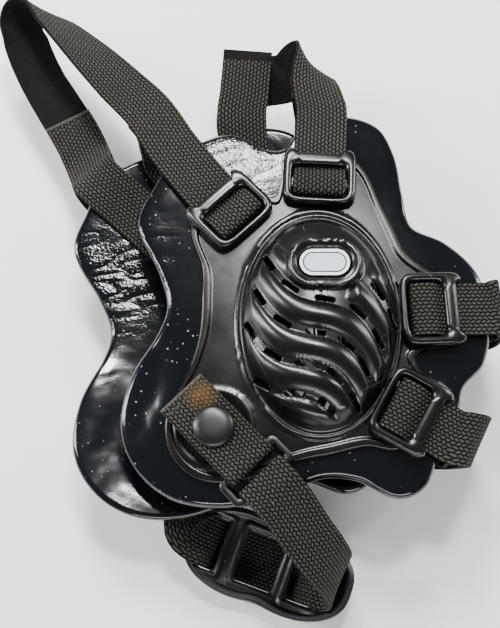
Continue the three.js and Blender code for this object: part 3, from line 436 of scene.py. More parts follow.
def pad_vinyl(name, rough, spread):
    made, tree, shader = material(name, IOR=1.5)
    place = add(tree, "TexCoord").outputs["Object"]
    level = add(tree, "Mapping", {"Vector": place, "Scale": (1, 1, 0)})
    zones = 0.05
    for x, y, reach, depth in CREASED:
        middle = (x * MM, y * MM, 0)
        far = add(tree, "VectorMath", (level, middle), operation="DISTANCE").outputs["Value"]
        near = add(tree, "MapRange", {
            "Value": far, "From Min": 0, "From Max": reach * MM, "To Min": depth * 1.3, "To Max": 0,
        })
        zones = add(tree, "Math", (zones, near), operation="MAXIMUM")
    zones = add(tree, "Math", (zones, 1.0), operation="MINIMUM")
    laid = add(
        tree, "Mapping", {"Vector": place, "Rotation": (0, 0, 0.17), "Scale": (2.8, 1, 1)},
        vector_type="TEXTURE",
    )
    wave = add(tree, "TexNoise", {
        "Vector": laid, "Scale": 500 / CREASE_SPACING, "Detail": 0.6, "Distortion": 0.3,
    })
    off = add(tree, "Math", (wave, 0.5), operation="SUBTRACT")
    size = add(tree, "Math", (off,), operation="ABSOLUTE")
    fold = add(tree, "Math", (size, 0.8), operation="POWER")
    crinkle = add(tree, "TexNoise", {"Vector": place, "Scale": 1000 / CRINKLE_SPACING, "Detail": 2})
    both = add(tree, "Math", (crinkle, 0.22, fold), operation="MULTIPLY_ADD")
    height = add(tree, "Math", (both, zones), operation="MULTIPLY")
    dents = add(tree, "TexNoise", {"Vector": place, "Scale": 1000 / DENT_SPACING, "Detail": 2})
    dented = add(tree, "Bump", {"Height": dents, "Distance": 1.2 * MM, "Strength": 0.5})
    creased = add(tree, "Bump", {
        "Height": height, "Distance": CREASE_DEPTH * MM, "Strength": 1.0, "Normal": dented,
    })
    dust = specks(tree, place, 2.4, 0.2)
    patches = add(tree, "TexNoise", {"Vector": place, "Scale": 28, "Detail": 2})
    patch = add(tree, "Math", (patches, 0.47), operation="GREATER_THAN")
    dusty = add(tree, "Math", (dust, patch), operation="MULTIPLY")
    shade = add(tree, "TexNoise", {"Vector": place, "Scale": 18, "Detail": 4})
    base = add(tree, "MixRGB", (shade, "#05070a", "#0c1014"))
    feed(tree, shader, {
        "Base Color": add(tree, "MixRGB", (dusty, base, "#7f8180")),
        "Roughness": add(tree, "Math", (patches, spread, rough), operation="MULTIPLY_ADD"),
        "Normal": creased,
    })
    return made


# Injection-moulded polyethylene: glossy warm black with fine scratches and a faint waviness.
# Each set of scratches: its turn, how long and how fine they are in mm
SCRATCHES = [(0.5, 55, 1.1), (-0.9, 50, 1.4), (1.9, 42, 1.2)]


def shell_plastic():
    made, tree, shader = material("moulded_polyethylene", IOR=1.5)
    place = add(tree, "TexCoord").outputs["Object"]
    scratch = 0
    for turn, length, width in SCRATCHES:
        laid = add(tree, "Mapping", {
            "Vector": place, "Rotation": (0, 0, turn), "Scale": (length * MM, width * MM, 0.02),
        }, vector_type="TEXTURE")
        fine = add(tree, "TexNoise", {"Vector": laid, "Scale": 1, "Detail": 2})
        mark = add(tree, "Math", (fine, 0.73), operation="GREATER_THAN")
        scratch = add(tree, "Math", (mark, scratch), operation="MAXIMUM")
    wear = add(tree, "TexNoise", {"Vector": place, "Scale": 40, "Detail": 3})
    worn = add(tree, "Math", (wear, 0.5), operation="GREATER_THAN")
    scratch = add(tree, "Math", (scratch, worn), operation="MULTIPLY")
    smear = add(tree, "TexNoise", {"Vector": place, "Scale": 70, "Detail": 4})
    rough = add(tree, "Math", (smear, 0.2, 0.16), operation="MULTIPLY_ADD")
    waves = add(tree, "TexNoise", {"Vector": place, "Scale": 55, "Detail": 2})
    feed(tree, shader, {
        "Base Color": add(tree, "MixRGB", (scratch, "#0b0a08", "#34332e")),
        "Roughness": add(tree, "Math", (scratch, 0.2, rough), operation="MULTIPLY_ADD"),
        "Normal": add(tree, "Bump", {"Height": waves, "Distance": 0.8 * MM, "Strength": 0.14}),
    })
    return made


# Woven polypropylene webbing: dull charcoal yarn in slanting stitches, with the gaps between them
# painted near-black as shade.
# The stitch is drawn a little coarser than the 1.3 mm of the real weave, so that it shows.
STITCH_ACROSS = 1.8
STITCH_ALONG = 2.4
STITCH_LEAN = 0.45
CUT_END = 1.3
SEWN_AT = 4.2

# A stain of dirt on the doubled tab: its middle in the frame and its reach, in mm
STAIN = (-17, -57, 9)


def webbing():
    made, tree, shader = material("polypropylene_webbing", Roughness=0.8, Specular_IOR_Level=0.12)
    lay = add(tree, "UVMap", uv_map="lay")
    split = add(tree, "SeparateXYZ", (lay,))
    from_end, across = split.outputs["X"], split.outputs["Y"]
    place = add(tree, "TexCoord").outputs["Object"]
    loose = add(tree, "TexNoise", {"Vector": place, "Scale": 160, "Detail": 1})
    drift = add(tree, "Math", (loose, 0.5, -0.25), operation="MULTIPLY_ADD")
    column = add(tree, "Math", (across, STITCH_ACROSS), operation="DIVIDE")
    part = add(tree, "Math", (column,), operation="FRACT")
    off = add(tree, "Math", (part, 0.5), operation="SUBTRACT")
    number = add(tree, "Math", (column,), operation="FLOOR")
    odd = add(tree, "Math", (number, 2), operation="FLOORED_MODULO")
    lean = add(tree, "Math", (odd, 2 * STITCH_LEAN, -STITCH_LEAN), operation="MULTIPLY_ADD")
    steps = add(tree, "Math", (from_end, 1 / STITCH_ALONG, drift), operation="MULTIPLY_ADD")
    slanted = add(tree, "Math", (off, lean, steps), operation="MULTIPLY_ADD")
    row = add(tree, "Math", (odd, 0.5, slanted), operation="MULTIPLY_ADD")
    phase = add(tree, "Math", (row,), operation="FRACT")
    beside = add(tree, "Math", (phase, 0.5), operation="SUBTRACT")
    wide = add(tree, "Math", (off, off), operation="MULTIPLY")
    long = add(tree, "Math", (beside, beside), operation="MULTIPLY")
    both = add(tree, "Math", (wide, long), operation="ADD")
    height = add(tree, "MapRange", {
        "Value": both, "From Min": 0, "From Max": 0.27, "To Min": 1, "To Max": 0,
    })
    shown = add(tree, "MapRange", {"Value": height, "From Min": 0.26, "From Max": 0.58})
    fine = add(tree, "TexNoise", {"Vector": place, "Scale": 500, "Detail": 3})
    wear = add(tree, "TexNoise", {"Vector": place, "Scale": 25, "Detail": 3})
    yarn = add(tree, "MixRGB", (fine, "#2a2926", "#56534b"))
    faded = add(tree, "MixRGB", (wear, yarn, "#302f2b"))
    # The near-black gap colour is painted shade in the hollows between stitches, where no relief is
    # built.
    woven_with_gap_shade = add(tree, "MixRGB", (shown, "#030303", faded))
    lint = specks(tree, place, 5, 0.1)
    linty = add(tree, "MixRGB", (lint, woven_with_gap_shade, "#5d5b57"))
    cut = add(tree, "Math", (from_end, CUT_END), operation="LESS_THAN")
    sewn = add(tree, "Math", (from_end, SEWN_AT, 0.45), operation="COMPARE")
    thread = add(tree, "Math", (across, 1 / 3.0), operation="MULTIPLY")
    dash = add(tree, "Math", (thread,), operation="FRACT")
    stitch = add(tree, "Math", (dash, 0.72), operation="LESS_THAN")
    seam = add(tree, "Math", (sewn, stitch), operation="MULTIPLY")
    level = add(tree, "Mapping", {"Vector": place, "Scale": (1, 1, 0)})
    stain = (STAIN[0] * MM, STAIN[1] * MM, 0)
    far = add(tree, "VectorMath", (level, stain), operation="DISTANCE").outputs["Value"]
    near = add(tree, "MapRange", {
        "Value": far, "From Min": 0.002, "From Max": STAIN[2] * MM, "To Min": 0.75, "To Max": 0,
    })
    patchy = add(tree, "TexNoise", {"Vector": place, "Scale": 260, "Detail": 3})
    soiled = add(tree, "Math", (near, patchy), operation="MULTIPLY")
    dirty = add(tree, "MixRGB", (soiled, linty, "#6d5127"))
    ended = add(tree, "MixRGB", (cut, dirty, "#47453f"))
    fibres = add(tree, "TexNoise", {"Vector": place, "Scale": 2600, "Detail": 2})
    fuzz = add(tree, "Bump", {"Height": fibres, "Distance": 0.2 * MM, "Strength": 0.4})
    feed(tree, shader, {
        "Base Color": add(tree, "MixRGB", (seam, ended, "#3a3832")),
        "Normal": add(tree, "Bump", {
            "Height": height, "Distance": 0.7 * MM, "Strength": 0.9, "Normal": fuzz,
        }),
    })
    return made


# Brushed loop tape: the soft lining of the straps' inner faces, of matted fine loops; its dark colour is
# partly painted shade.
def lining_with_painted_shade():
    made, tree, shader = material("brushed_tape_and_painted_shade", Roughness=0.95, Specular_IOR_Level=0.1)
    place = add(tree, "TexCoord").outputs["Object"]
    tufts = add(tree, "TexNoise", {"Vector": place, "Scale": 900, "Detail": 4})
    matted = add(tree, "TexNoise", {"Vector": place, "Scale": 120, "Detail": 3})
    # These near-black colours are darker than lit loop tape: partly painted shade on the straps' inner
    # sides.
    loops = add(tree, "MixRGB", (tufts, "#060606", "#232224"))
    pressed = add(tree, "MixRGB", (matted, loops, "#0e0e0e"))
    feed(tree, shader, {
        "Base Color": pressed,
        "Normal": add(tree, "Bump", {"Height": tufts, "Distance": 0.6 * MM, "Strength": 0.8}),
    })
    return made


# Painted brass snaps, moulded nylon, enamel and the table: one colour with a slight change of gloss.
def even(name, colour, rough, spread, **settings):
    made, tree, shader = material(name, Base_Color=colour, **settings)
    place = add(tree, "TexCoord").outputs["Object"]
    smear = add(tree, "TexNoise", {"Vector": place, "Scale": 120, "Detail": 3})
    feed(tree, shader, {
        "Roughness": add(tree, "Math", (smear, spread, rough), operation="MULTIPLY_ADD"),
        "Normal": add(tree, "Bump", {"Height": smear, "Distance": 0.1 * MM, "Strength": 0.2}),
    })
    return made


VINYL = pad_vinyl("pvc_dipped_vinyl", 0.05, 0.14)
CUP_VINYL = pad_vinyl("worn_pvc_dipped_vinyl", 0.26, 0.26)
PLASTIC = shell_plastic()
WEBBING = webbing()
TAPE_AND_SHADE_MATERIAL = lining_with_painted_shade()
ENAMEL = even("enamelled_brass", "#0b0b0b", 0.26, 0.2)
NYLON = even("moulded_nylon", "#0b0b0a", 0.22, 0.2)
PLATE = [
    even(name, colour, 0.4, 0.1, Specular_IOR_Level=0.3)
    for name, colour in (
        ("white_enamel", "#e9ecee"), ("black_enamel", "#0d0f12"), ("pale_enamel", "#b9c9d4"),
    )
]
FLOOR = even("pale_table", "#f6f6f4", 0.75, 0.1)


# Ear pads

def rounding(radius, steps):
    """A quarter circle between two faces: each point's distance from the one and from the other."""
    turns = [math.pi / 2 * i / steps for i in range(steps + 1)]
    return [(radius * (1 - math.sin(turn)), radius * (1 - math.cos(turn))) for turn in turns]


def pad_section():
    """Rows round the pad's section: share of the way out, distance from the edge and height."""
    corner = rounding(PAD_ROUNDING, 7)
    rows = [(i / 8, PAD_ROUNDING * (1 - 2 * i / 8), 0) for i in range(9)]
    rows += [(1, -near, far) for near, far in corner[1:-1]]
    rows += [(1, -far, PAD_THICKNESS - near) for near, far in corner]
    rows += [(1 - i / 12, -PAD_ROUNDING * (1 - 2 * i / 12), PAD_THICKNESS) for i in range(1, 12)]
    rows += [(0, near, PAD_THICKNESS - far) for near, far in corner[:-1]]
    rows += [(0, far, near) for near, far in corner[:-1]]
    rows.append(rows[0])
    return rows


def ear_pad():
    columns = 420
    rows = pad_section()
    angles = [2 * math.pi * (j % columns) / columns for j in range(columns + 1)]
    inner = [ellipse_reach(EAR_OPENING_WIDTH, EAR_OPENING_HEIGHT, a) for a in angles]
    outer = [pad_reach(a) for a in angles]
    shell = [shell_reach(a) for a in angles]

    def place(j, i):
        share, inset, w = rows[i]
        reach = inner[j] + (outer[j] - inner[j]) * share + inset
        x, y = reach * math.cos(angles[j]), reach * math.sin(angles[j])
        margin = max(0, reach - shell[j])
        curl = PAD_CURL * margin * margin * (1 - smoothstep(*PAD_CURL_FADE, y))
        return bend(x, y, w - min(curl, PAD_CURL_MOST))

    bm = lattice(columns, len(rows) - 1, place)
    for strap_frame in FRAMES.values():
        x, y = place_on(strap_frame)(-WINDOW_HALF + PAD_SLOT / 2, 0)
        cut_slot(bm, x, y, math.radians(strap_frame["heading"]), PAD_SLOT, FRAME_WINDOW)
    close(bm)
    return bm


def cut_hole(bm, x, y, turn, length, width, corner=0):
    """Cuts a hole straight down at x, y through all faces there: four sides, and four corners."""
    c, s = math.cos(turn), math.sin(turn)
    reach = math.hypot(length, width) / 2 + 4
    quarters = (0, math.pi / 2, math.pi, -math.pi / 2)
    sides = list(zip(quarters, (length / 2, width / 2) * 2))
    if corner:
        for quarter in range(4):
            away = math.pi / 4 + quarter * math.pi / 2
            far = (length / 2 + width / 2) * math.sqrt(0.5) - corner * (math.sqrt(2) - 1)
            sides.append((away, far))
    near = [
        face for face in bm.faces
        if math.hypot(face.calc_center_median().x - x, face.calc_center_median().y - y) < reach
    ]
    for away, far in sides:
        normal = Vector((math.cos(turn + away), math.sin(turn + away), 0))
        geom = set(near)
        for face in near:
            geom.update(face.edges)
            geom.update(face.verts)
        result = bmesh.ops.bisect_plane(
            bm, geom=list(geom), dist=0.001,
            plane_co=Vector((x, y, 0)) + normal * far, plane_no=normal,
        )
        near = [item for item in result["geom"] if isinstance(item, bmesh.types.BMFace)]
    inside = []
    for face in near:
        middle = face.calc_center_median() - Vector((x, y, 0))
        if all(
            middle.x * math.cos(turn + away) + middle.y * math.sin(turn + away) < far
            for away, far in sides
        ):
            inside.append(face)
    bmesh.ops.delete(bm, geom=inside, context="FACES")


def cut_slot(bm, x, y, turn, length, width, corner=0):
    """Cuts a hole through both faces of a padded piece and joins them with its walls."""
    before = {edge for edge in bm.edges if edge.is_boundary}
    cut_hole(bm, x, y, turn, length, width, corner)
    rim = [edge for edge in bm.edges if edge.is_boundary and edge not in before]
    bmesh.ops.bridge_loops(bm, edges=rim)


# Shells

FALL_MIDDLE = 0.176
FALL_ENDS = 1.18
RIB_SKEW = 0.33
FIRST_GROOVE = RIB_PITCH * 0.43


def rib_point(line, share):
    down = line * RIB_PITCH
    half = CUP_WIDTH / 2
    fall = half * (FALL_MIDDLE * share + FALL_ENDS * share**3)
    return share * half + 2 - down * RIB_SKEW, FIRST_GROOVE - down - fall


def rib_line(x, y):
    """Which line of the S-shaped pattern a point lies on, and its share of the way across."""
    half = CUP_WIDTH / 2
    down = FIRST_GROOVE - y
    for _ in range(8):
        share = (x - 2 + down * RIB_SKEW) / half
        off = FIRST_GROOVE - down - half * (FALL_MIDDLE * share + FALL_ENDS * share**3) - y
        slope = -1 - (FALL_MIDDLE + 3 * FALL_ENDS * share**2) * RIB_SKEW
        down -= off / slope
    return down / RIB_PITCH, (x - 2 + down * RIB_SKEW) / half


VENTS = [
    (-1.05, [0.55, 0.75]),
    (0, [-0.71, -0.44, 0, 0.42, 0.68]),
    (1.03, [-0.69, -0.4, 0.02, 0.41, 0.64]),
    (2, [-0.68, -0.39, 0, 0.4, 0.66]),
    (2.85, [-0.41, 0, 0.41]),
]

# Ribs: the line each lies on, and the stretch across the cup where it stands up
RIBS = [
    (-1.5, 0.45, 1.1),
    (-0.5, -1.1, -0.42),
    (-0.5, 0.3, 1.1),
    (0.5, -1.1, 1.1),
    (1.5, -1.1, 1.1),
    (2.45, -1.1, 1.1),
    (3.3, -1.1, 1.1),
]
RIB_TOP = 2.6
RIB_HALF = 0.36

# Low relief in mm: the sunk ground between the ribs, the raised band along the plate's edge, the
# collar round the cup's foot, and the ring round the snap with its radius and half its width
GROUND = 0.8
EDGE_BEAD = 0.9
COLLAR = 0.8
SNAP_RING = 0.9
SNAP_RING_RADIUS = 17.3
SNAP_RING_HALF = 1.8


def cup_rise(x, y):
    """The bare cup's height over the plate, with a fillet round its foot."""
    share = math.hypot(2 * x / CUP_WIDTH, 2 * y / CUP_HEIGHT)
    turn = 0.985
    foot = 0.05
    if share < turn:
        return CUP_DEPTH * (1 - share**2.6) ** 0.6
    at_turn = CUP_DEPTH * (1 - turn**2.6) ** 0.6
    return at_turn * max(0, 1 - (share - turn) / foot) ** 2.2


def rib_relief(x, y):
    share = math.hypot(2 * x / CUP_WIDTH, 2 * y / CUP_HEIGHT)
    if share > 1.02:
        return 0
    line, across = rib_line(x, y)
    best = 0
    for centre, start, end in RIBS:
        off = abs(line - centre) / RIB_HALF
        if off < 1:
            ends = smoothstep(start - 0.08, start + 0.08, across)
            ends *= 1 - smoothstep(end - 0.08, end + 0.08, across)
            best = max(best, ends * (1 - off * off) ** 0.75)
    ground = GROUND * (1 - smoothstep(0.8, 0.97, share))
    return RIB_TOP * best * (1 - smoothstep(0.86, 1.0, share)) - ground


def ring_height(x, y):
    """The raised ring round the badge: its height over the plate, or a low number away from it."""
    core = (BADGE_LENGTH - BADGE_WIDTH) / 2
    off = math.hypot(max(abs(x - BADGE_X) - core, 0), y - BADGE_Y) - BADGE_WIDTH / 2
    top = CUP_DEPTH + RING_HEIGHT
    floor = top - RING_RECESS - BADGE_THICKNESS - SEAT_GAP
    lip = floor + (top - 0.7 - floor) * smoothstep(0.4, 1.7, off)
    crest = 0.7 * smoothstep(1.8, 4.2, off)
    fall = 9 * max(0, (off - 4.6) / 2.4) ** 1.8
    return lip + crest - fall, off


def cup_height(x, y):
    bare = cup_rise(x, y) + rib_relief(x, y)
    ring, off = ring_height(x, y)
    return ring if off < 4.6 else max(bare, ring)


def edge_bead(inset):
    """The raised band that runs round the plate's edge, as a height at a distance from the edge."""
    return EDGE_BEAD * (1 - smoothstep(3.2, 4.6, inset))


def plate_height(x, y, inset):
    snap = math.radians(SNAP_PLACE["deg"])
    sx, sy = SNAP_PLACE["reach"] * math.cos(snap), SNAP_PLACE["reach"] * math.sin(snap)
    ring = abs(math.hypot(x - sx, y - sy) - SNAP_RING_RADIUS)
    height = edge_bead(inset)
    foot = math.hypot(2 * x / CUP_WIDTH, 2 * y / CUP_HEIGHT)
    height += COLLAR * smoothstep(1.04, 1.06, foot) * (1 - smoothstep(1.085, 1.105, foot))
    if ring < SNAP_RING_HALF:
        height = max(height, SNAP_RING * math.cos(math.pi / 2 * ring / SNAP_RING_HALF) ** 0.7)
    return height


def shell_rows():
    """Rows from the cup's middle to the shell's edge: (part, share or distance from the edge)."""
    rows = [("cup", 0.93 * i / 44) for i in range(45)]
    rows += [("cup", 0.93 + 0.105 * i / 12) for i in range(1, 13)]
    rows += [("plate", i / 26) for i in range(1, 26)]
    rows += [("edge", inset) for inset in (6, 5.2, 4.6, 4.2, 3.8, 3.4, 3, 2, 1.2, 0.6, 0.2, 0)]
    rows += [("wall", 0.8), ("wall", 2.2)]
    return rows


def shell_blank():
    columns = 400
    rows = shell_rows()
    angles = [2 * math.pi * (j % columns) / columns for j in range(columns + 1)]
    foot = [ellipse_reach(CUP_WIDTH, CUP_HEIGHT, a) for a in angles]
    outer = [shell_reach(a) for a in angles]

    def place(j, i):
        part, value = rows[i]
        start = 1.035 * foot[j]
        flat_edge = max(outer[j] - 6, start + 0.2)
        if part == "cup":
            reach = value * foot[j]
        elif part == "plate":
            reach = start + (flat_edge - start) * value
        elif part == "edge":
            reach = outer[j] - value * (outer[j] - flat_edge) / 6
        else:
            reach = outer[j]
        x, y = reach * math.cos(angles[j]), reach * math.sin(angles[j])
        inset = outer[j] - reach
        w = PLATE_TOP
        if part == "cup":
            w += cup_height(x, y)
        elif part != "wall":
            w += plate_height(x, y, inset) - 0.9 * max(0, 1 - inset / 0.7) ** 2
        else:
            w -= value - 0.6
        return bend(x, y, w)

    return lattice(columns, len(rows) - 1, place)


def frame_ring(strap_frame):
    """One moulded strap frame: a rounded bar round a window, arched over the strap at its outer bar."""
    place = place_on(strap_frame)
    around, section = 120, 22
    outer_half = (FRAME_DEPTH / 2, FRAME_WIDTH / 2)
    outer_middle = (FRAME_OUTER_BAR - FRAME_INNER_BAR) / 2
    inner_half = (WINDOW_HALF, FRAME_WINDOW / 2)
    tunnel = LAY_OVER + WEBBING_THICKNESS / 2 + FIT

    def corner_point(half, radius, turn):
        """A point of a rounded rectangle in a direction, by its corner's own superellipse."""
        c, s = math.cos(turn), math.sin(turn)
        power = 2 + 6 * (1 - radius / min(half))
        size = (abs(c / half[0]) ** power + abs(s / half[1]) ** power) ** (-1 / power)
        return size * c, size * s

    def place_point(j, i):
        turn = 2 * math.pi * (j % around) / around
        o = corner_point(outer_half, 6.5, turn)
        n = corner_point(inner_half, 2.2, turn)
        lug = smoothstep(11.5, 14.5, abs(o[1])) * smoothstep(2, 9, o[0])
        o = (o[0] + outer_middle + FRAME_LUG * lug, o[1])
        along_arch = o[0] > WINDOW_HALF and abs(o[1]) < WEBBING_WIDTH / 2 + FIT + 1
        arch = 1 - smoothstep(WEBBING_WIDTH / 2 + FIT - 0.5, WEBBING_WIDTH / 2 + FIT + 1, abs(o[1]))
        low = PLATE_TOP - 1.2
        if along_arch:
            low += (tunnel - low) * arch
        high = PLATE_TOP + FRAME_HEIGHT
        turn_in = 2 * math.pi * (i % section) / section
        c, s = math.cos(turn_in), math.sin(turn_in)
        spread = math.copysign(abs(c) ** 0.8, c) / 2
        lift = math.copysign(abs(s) ** 0.75, s) / 2
        along = (o[0] + n[0]) / 2 + spread * (o[0] - n[0])
        across = (o[1] + n[1]) / 2 + spread * (o[1] - n[1])
        x, y = place(along, across)
        return bend(x, y, (low + high) / 2 + lift * (high - low))

    bm = lattice(around, section, place_point)
    bmesh.ops.recalc_face_normals(bm, faces=bm.faces[:])
    return bm


def centre_bar(strap_frame):
    bm = bmesh.new()
    bmesh.ops.create_cube(bm, size=1)
    height = CENTRE_BAR_RISE + SHELL_THICKNESS - 0.3
    bmesh.ops.scale(bm, vec=(CENTRE_BAR_WIDTH, FRAME_WINDOW + 2, height), verts=bm.verts[:])
    bmesh.ops.bevel(
        bm, geom=bm.edges[:], offset=0.8, segments=3, affect="EDGES", profile=0.5, material=-1
    )
    place = place_on(strap_frame)
    for vert in bm.verts:
        x, y = place(vert.co.x, vert.co.y)
        vert.co = bend(x, y, PLATE_TOP + CENTRE_BAR_RISE - height / 2 + vert.co.z)
    return bm


def join(bm, other):
    """Adds another bmesh's geometry to the first."""
    kept = bpy.data.meshes.new("kept")
    other.to_mesh(kept)
    other.free()
    bm.from_mesh(kept)
    bpy.data.meshes.remove(kept)


def ear_shell():
    bm = shell_blank()
    for line, shares in VENTS:
        for share in shares:
            (x, y), (ax, ay) = rib_point(line, share), rib_point(line, share + 0.02)
            cut_hole(bm, x, y, math.atan2(ay - y, ax - x), VENT_LENGTH, VENT_WIDTH, 0.8)
    for strap_frame in FRAMES.values():
        x, y = place_on(strap_frame)(0, 0)
        cut_hole(bm, x, y, math.radians(strap_frame["heading"]), 2 * WINDOW_HALF, FRAME_WINDOW)
    bmesh.ops.recalc_face_normals(bm, faces=bm.faces[:])
    return bm


def shell_object(name, matrix):
    made = piece(name, ear_shell(), PLASTIC, matrix, sharp=50)
    wall = made.modifiers.new("wall", "SOLIDIFY")
    wall.thickness = SHELL_THICKNESS * MM * 0.65
    wall.offset = -1
    return made


# Webbing

def curve_point(points, share):
    """A point of the smooth curve through the points (centripetal Catmull-Rom)."""
    last = len(points) - 1
    place = min(max(share, 0), 1) * last
    low = min(int(place), last - 1)
    t = place - low
    p1, p2 = points[low], points[low + 1]
    p0 = points[low - 1] if low > 0 else 2 * p1 - p2
    p3 = points[low + 2] if low + 2 <= last else 2 * p2 - p1
    d0, d1, d2 = (max((b - a).length_squared**0.25, 1e-4) for a, b in ((p0, p1), (p1, p2), (p2, p3)))
    t1 = ((p1 - p0) / d0 - (p2 - p0) / (d0 + d1) + (p2 - p1) / d1) * d1
    t2 = ((p2 - p1) / d1 - (p3 - p1) / (d1 + d2) + (p3 - p2) / d2) * d1
    return (
        p1 + t1 * t + (-3 * p1 + 3 * p2 - 2 * t1 - t2) * t**2 + (2 * p1 - 2 * p2 + t1 + t2) * t**3
    )


def smoothed(stations, count):
    """Stations along the smooth curve through the given ones; each is (middle, way across)."""
    points = [at for at, _ in stations]
    made = []
    for i in range(count + 1):
        share = i / count
        place = share * (len(stations) - 1)
        low = min(int(place), len(stations) - 2)
        across = stations[low][1].lerp(stations[low + 1][1], place - low)
        made.append((curve_point(points, share), across.normalized()))
    return made


def frame_route(strap_frame, matrix, veer=0):
    """The webbing's way round one frame: under the pad, up its slot, over the centre bar and out.
    Veer is how far its outer end has swung sideways."""
    over = LAY_OVER + CENTRE_BAR_RISE
    lobe = strap_frame["lobe"]
    flat = [
        (lobe, LAY_UNDER),
        (lobe / 2, LAY_UNDER),
        (-GAP_MIDDLE + 2 * CORNER, LAY_UNDER),
        (-GAP_MIDDLE + CORNER * 0.4, LAY_UNDER + CORNER * 0.4),
        (-GAP_MIDDLE, LAY_UNDER + 2 * CORNER),
        (-GAP_MIDDLE, over - 1.2 * CORNER),
        (-GAP_MIDDLE + CORNER * 0.5, over - CORNER * 0.3),
        (-GAP_MIDDLE + 1.8 * CORNER, over),
        (CENTRE_BAR_WIDTH / 2, over),
        (WINDOW_HALF - 1.2, LAY_OVER),
        (OUTER_BAR_END + 1.5, LAY_OVER),
        (lobe - 1, LAY_OVER),
    ]
    place = place_on(strap_frame)
    route = []
    for along, w in flat:
        swung = veer * smoothstep(OUTER_BAR_END, lobe, along) if w > 0 else 0
        left, right = (
            matrix @ bend(*place(along, share * WEBBING_WIDTH + swung), w) for share in (0.5, -0.5)
        )
        route.append(((left + right) / 2, (left - right).normalized()))
    return route


def folded_end(route, loop, tuck, lobe, turn, stiff_lean=None):
    """The folded-back end leaves the lobe's inner face and comes to lie on the band's inner side.
    Turn is 1 on the upper guard and -1 on the lower one. A stiff end runs straight out instead,
    leaning by an angle."""
    start = route[0][0]
    lie = WEBBING_THICKNESS + FIT
    wanted = tuck - lobe
    end = []
    along = 0
    for i in range(1, len(loop) - 1):
        if along >= wanted:
            break
        along += (loop[i][0] - loop[i - 1][0]).length
        tangent = (loop[i + 1][0] - loop[i - 1][0]).normalized()
        inner = loop[i][1].cross(tangent).normalized() * turn
        beside = loop[i][0] + inner * lie
        mix = smoothstep(0, min(16, wanted), along)
        level = start + loop[i][0] - loop[0][0]
        level.z = start.z
        if stiff_lean is None:
            end.append((level.lerp(beside, mix), loop[i][1]))
        else:
            lean = Matrix.Rotation(math.radians(stiff_lean) * mix, 3, "Z")
            across = lean @ loop[0][1]
            ahead = Vector((across.y, -across.x, 0)).normalized() * -turn
            end.append((start + ahead * along, across))
    end.reverse()
    return end


def strap_stations(name):
    strap_frame = FRAMES[name]
    upper = frame_route(strap_frame, UPPER, strap_frame["veer"])
    lower = frame_route(strap_frame, LOWER)
    start, stop = upper[-1], lower[-1]
    heading = math.radians(strap_frame["heading"]) + LOWER_TURN / 2
    out = Vector((math.cos(heading), math.sin(heading), 0))
    side = Vector((-out.y, out.x, 0))
    middle = (start[0] + stop[0]) / 2
    middle.z = 0
    reach, rows = LOOPS[name]
    half = STACK_HALF - WEBBING_THICKNESS / 2
    free = []
    for go_out, go_side, up, roll, splay in rows:
        roll, splay = math.radians(roll), math.radians(splay)
        raised = Vector((0, 0, math.cos(splay))) + out * math.sin(splay)
        at = middle + out * (go_out * reach) + side * (go_side * reach)
        at.z = up * half
        free.append((at, side * math.cos(roll) + raised * math.sin(roll)))
    loop = smoothed([start, *free, stop], 3 * (len(free) + 1))
    tucks, lobe = strap_frame["tuck"], strap_frame["lobe"]
    return [
        *folded_end(upper, loop, tucks[0], lobe, 1),
        *upper,
        *loop[1:-1],
        *reversed(lower),
        *reversed(folded_end(lower, loop[::-1], tucks[1], lobe, -1, strap_frame["stiff_lean"])),
    ]


def evenly(stations, step):
    """The same route with stations a step apart, so that the weave keeps its pitch."""
    fine = smoothed(stations, 8 * (len(stations) - 1))
    lengths = [0]
    for (a, _), (b, _) in zip(fine, fine[1:]):
        lengths.append(lengths[-1] + (b - a).length)
    count = max(2, round(lengths[-1] / step))
    made = []
    i = 0
    for k in range(count + 1):
        wanted = lengths[-1] * k / count
        while i < len(fine) - 2 and lengths[i + 1] < wanted:
            i += 1
        t = (wanted - lengths[i]) / max(lengths[i + 1] - lengths[i], 1e-6)
        at = fine[i][0].lerp(fine[i + 1][0], t)
        made.append((at, fine[i][1].lerp(fine[i + 1][1], t).normalized()))
    return made, lengths[-1]


def band(stations, step=1.4, tape_and_shade_from=0, tip_tape=0):
    """A webbing band with rounded selvedges, mapped in mm from its nearer end and round its section.
    Its inner face is loop tape, partly painted shade, from tape_and_shade_from onwards, and both faces
    up to tip_tape."""
    stations, length = evenly(stations, step)
    half, thick = WEBBING_WIDTH / 2, WEBBING_THICKNESS / 2
    section = [(half - thick * 0.3 - (WEBBING_WIDTH - 0.6 * thick) * i / 12, thick) for i in range(13)]
    section += [(-half, 0)]
    section += [(-across, -thick) for across, _ in section[:13]]
    section += [(half, 0), section[0]]
    frames = []
    for i, (at, across) in enumerate(stations):
        before = stations[max(i - 1, 0)][0]
        after = stations[min(i + 1, len(stations) - 1)][0]
        along = (after - before).normalized()
        side = (across - along * across.dot(along)).normalized()
        frames.append((at, side, along.cross(side).normalized()))

    def place(j, i):
        at, side, up = frames[i]
        across, over = section[j]
        return at + side * across + up * over

    around = [-half]
    for (across_a, over_a), (across_b, over_b) in zip(section, section[1:]):
        around.append(around[-1] + math.hypot(across_b - across_a, over_b - over_a))

    def lay(j, i):
        along = i * length / (len(frames) - 1)
        return min(along, length - along), around[j]

    bm = lattice(len(section) - 1, len(frames) - 1, place, lay)
    uv = bm.loops.layers.uv["lay"]
    for face in bm.faces:
        middle = face.loops[0][uv].uv.lerp(face.loops[2][uv].uv, 0.5)
        # The inner face past tape_and_shade_from takes the dark loop tape, which also paints the shade
        # on the loops' inner sides.
        inside = tape_and_shade_from and middle.x > tape_and_shade_from and middle.y > half + thick
        if inside or middle.x < tip_tape:
            face.material_index = 1
    close(bm)
    return bm, length


